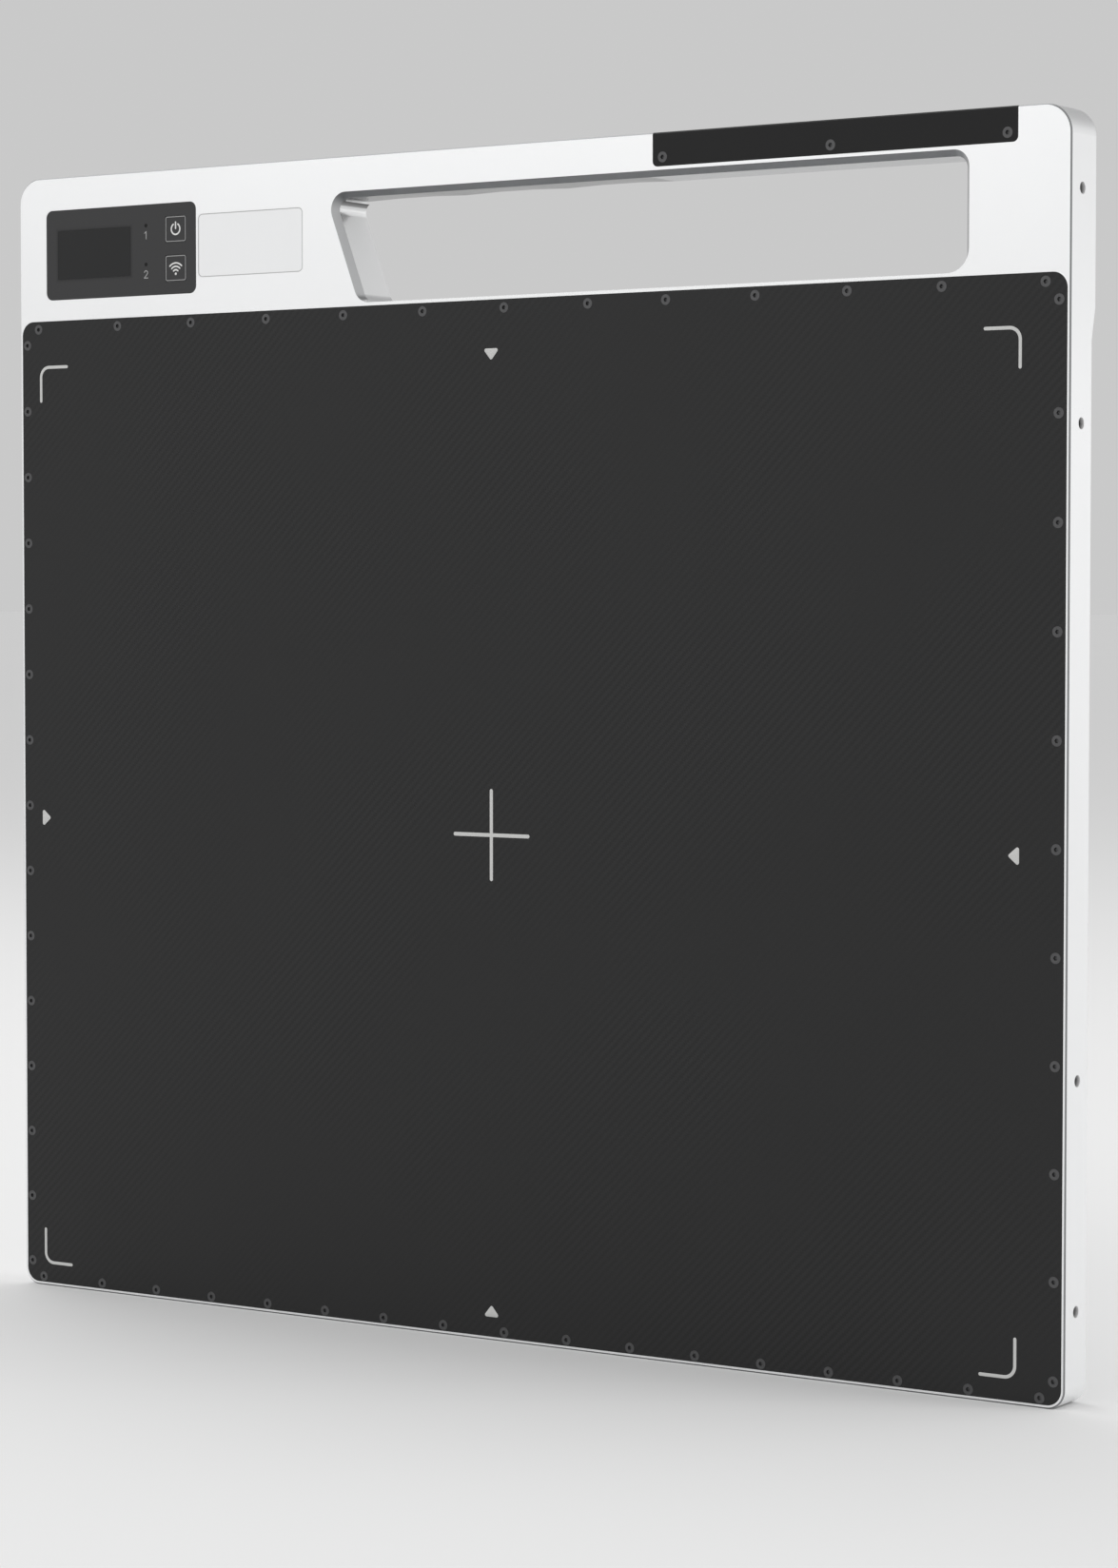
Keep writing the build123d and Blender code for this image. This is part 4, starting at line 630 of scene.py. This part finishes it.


# Control panel
# A dark grey polyester film with a tinted window, printed from behind, and two keys that stand in it.
# Painted shade darkens the film round the window. Each key has a printed frame and a mark, and each light a
# number.
window_left, window_right, window_low, window_high = -210.4 * MM, -173.55 * MM, 397.5 * MM, 416.55 * MM
film = finish_material("overlay film", (0.033, 0.033, 0.034), 0.42, 0.5, grain=2400.0, bump=0.15,
                       uneven=0.03, Specular_IOR_Level=0.3)
tree, shader, color, _ = parts_of(film)
x, _, z = split_coordinates(tree)
past_window = []
for value, low, high in ((x, window_left, window_right), (z, window_low, window_high)):
    from_middle = calculate(tree, "ABSOLUTE", calculate(tree, "SUBTRACT", value, (low + high) / 2))
    past_window.append(calculate(tree, "SUBTRACT", from_middle, (high - low) / 2))
# Painted shade: the film is darkest at the window's edge and reaches its own tone 1.3 mm out.
window_shade = add_node(tree, "ShaderNodeMapRange", interpolation_type="SMOOTHSTEP", From_Min=-0.2 * MM,
                From_Max=1.3 * MM, To_Min=0.6, To_Max=1.0)
tree.links.new(calculate(tree, "MAXIMUM", *past_window), window_shade.inputs["Value"])
window_shaded_color = add_node(tree, "ShaderNodeVectorMath", operation="SCALE")
tree.links.new(color, window_shaded_color.inputs[0])
tree.links.new(window_shade.outputs[0], window_shaded_color.inputs["Scale"])
tree.links.new(window_shaded_color.outputs[0], shader.inputs["Base Color"])
dress(film, "control_overlay", "power_button", "wireless_button")
window_plastic = finish_material("window plastic", (0.0145, 0.0148, 0.0152), 0.2, 0.28, grain=900.0,
                                 bump=0.02, uneven=0.05, Specular_IOR_Level=0.25)
pipe_plastic = finish_material("light pipe plastic", (0.012, 0.012, 0.012), 0.45, 0.55, grain=2000.0,
                               bump=0.05, Specular_IOR_Level=0.12)
dress(window_plastic, "display_window")
dress(pipe_plastic, "led_light_pipes")

ink_white = ink_finish("white ink", (0.72, 0.72, 0.71))
ink_dim = ink_finish("grey ink", (0.34, 0.34, 0.34))
panel_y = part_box("power_button")[0].y
key_x, power_z, wireless_z, key_size = -151.2, 414.55, 399.6, (9.6, 9.3)
ring_radius, ring_start, ring_end, bar_low, bar_high, power_width = 2.1, 122, 418, 0.2, 2.6, 0.62
power_ink = [stroke(arc((key_x, power_z), ring_radius, ring_start, ring_end, 31), power_width, panel_y),
             stroke(straight((key_x, power_z + bar_low), (key_x, power_z + bar_high)), power_width, panel_y)]
wave_drop, wave_radii, wave_start, wave_end, wave_width = 2.2, (1.55, 2.85, 4.15), 46, 134, 0.6
dot_radius = 0.5
wave_foot = (key_x, wireless_z - wave_drop)
wave_ink = [stroke(arc(wave_foot, radius, wave_start, wave_end, 15), wave_width, panel_y)
            for radius in wave_radii]
wave_ink.append(filled(arc(wave_foot, dot_radius, 0, 345, 24), panel_y))
joined("power_mark", power_ink, ink_white, "power_key")
joined("wireless_mark", wave_ink, ink_white, "wireless_key")
frame_corner, frame_width = 0.7, 0.28
for key, key_z in (("power_key", power_z), ("wireless_key", wireless_z)):
    key_frame = outline((key_x, key_z), key_size, frame_corner, frame_width, panel_y)
    joined(key + "_frame", [key_frame], ink_dim, key)
overlay_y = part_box("control_overlay")[0].y
light_x, numeral_width = -165.9, 0.36
# Both numerals are straight from corner to corner, and the two has a bow above its corners.
one_place, two_place = (light_x, 411.4), (light_x, 396.4)
one_corners = np.array([(-0.65, 2.25), (0.15, 2.8), (0.15, 0.0)])
two_corners = np.array([(0.55, 1.45), (-0.85, 0.0), (0.9, 0.0)])
bow_centre, bow_radius, bow_start, bow_end = (0, 2.0), 0.8, 165, -45
numeral_paths = [straight(*line) + place
                 for place, corners in ((one_place, one_corners), (two_place, two_corners))
                 for line in zip(corners[:-1], corners[1:])]
numeral_paths.append(arc(np.add(two_place, bow_centre), bow_radius, bow_start, bow_end))
joined("light_numbers", [stroke(path, numeral_width, overlay_y - layer * ink_layer)
                         for layer, path in enumerate(numeral_paths)], ink_dim)


# Label
# A blank plate of pale grey film, laid in a shallow recess in the front of the housing.
# It has a thin printed border along its edge.
label_film = finish_material("label film", (0.87, 0.875, 0.88), 0.42, 0.5, grain=2500.0, bump=0.08,
                             uneven=0.02, Metallic=0.1)
dress(label_film, "id_label")
label_low, label_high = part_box("id_label")
border_width, border_corner = 0.3, 1.85
label_size = ((label_high.x - label_low.x) / MM - border_width,
              (label_high.z - label_low.z) / MM - border_width)
label_middle = ((label_high.x + label_low.x) / MM / 2, (label_high.z + label_low.z) / MM / 2)
ink_border = ink_finish("border ink", (0.46, 0.46, 0.46))
border = outline(label_middle, label_size, border_corner, border_width, label_low.y)
joined("label_border", [border], ink_border)


# Floor and light
# A pale studio floor that runs to the horizon, under four soft square lamps and a pale sky.
# The sky gives less light from high up behind the detector.
def area_lamp(name, place, aim, size, power):
    """A square lamp at a place, turned to a point: its back looks away from that point."""
    light = bpy.data.lights.new(name, "AREA")
    light.shape = "SQUARE"
    light.size = size
    light.energy = power
    lamp = bpy.data.objects.new(name, light)
    away = np.subtract(place, aim)
    away = away / np.linalg.norm(away)
    right = np.cross((0, 0, 1), away)
    right /= np.linalg.norm(right)
    up = np.cross(away, right)
    lamp.matrix_world = placed(right, up, away, place)
    bpy.context.scene.collection.objects.link(lamp)


floor_half = 60
floor_lines = np.linspace(-floor_half, floor_half, 9)
u, v = np.meshgrid(floor_lines, floor_lines, indexing="ij")
floor = bpy.data.objects.new("floor", grid_mesh("floor", np.stack([u, v, np.zeros_like(u)], axis=2)))
bpy.context.scene.collection.objects.link(floor)
floor_paint = finish_material("floor paint", (0.78, 0.78, 0.78), 0.8, 0.9, grain=60.0, bump=0.0, uneven=0.01,
                              cloud=0.5, Specular_IOR_Level=0.0)
floor.data.materials.append(floor_paint)
area_lamp("key lamp", (-1.7, -2.6, 2.1), (0, 0, 0.2), 2.1, 15.0)
area_lamp("side lamp", (1.6, 2.7, -0.2), (0.1, 0, 0.2), 1.6, 2.0)
area_lamp("floor lamp", (2.0, 0.6, 1.5), (0.6, 0.7, 0), 0.9, 10.0)
area_lamp("top lamp", (-1.05, 0.34, 2.3), (0, 0, 0.3), 2.0, 16.0)

# The sky that gives the light is dimmer towards one direction. The camera sees an even grey instead.
dimmer_towards = (-0.12, 0.85, 0.5)
seen_grey = (0.585, 0.585, 0.585, 1)
world = bpy.data.worlds.new("studio")
bpy.context.scene.world = world
world.use_nodes = True
tree = world.node_tree
light_sky = tree.nodes["Background"]
light_sky.inputs["Color"].default_value = (1.0, 1.0, 1.0, 1)
far_side = add_node(tree, "ShaderNodeVectorMath", operation="DOT_PRODUCT")
tree.links.new(tree.nodes.new("ShaderNodeTexCoord").outputs["Generated"], far_side.inputs[0])
far_side.inputs[1].default_value = dimmer_towards
dimming = add_node(tree, "ShaderNodeMapRange", interpolation_type="SMOOTHSTEP", From_Min=0.76, From_Max=0.96,
                   To_Min=0.84, To_Max=0.28)
tree.links.new(far_side.outputs["Value"], dimming.inputs["Value"])
tree.links.new(dimming.outputs[0], light_sky.inputs["Strength"])
seen_sky = add_node(tree, "ShaderNodeBackground")
seen_sky.inputs["Color"].default_value = seen_grey
either = tree.nodes.new("ShaderNodeMixShader")
tree.links.new(tree.nodes.new("ShaderNodeLightPath").outputs["Is Camera Ray"], either.inputs[0])
tree.links.new(light_sky.outputs[0], either.inputs[1])
tree.links.new(seen_sky.outputs[0], either.inputs[2])
tree.links.new(either.outputs[0], tree.nodes["World Output"].inputs["Surface"])

bpy.context.scene.view_settings.view_transform = "Standard"
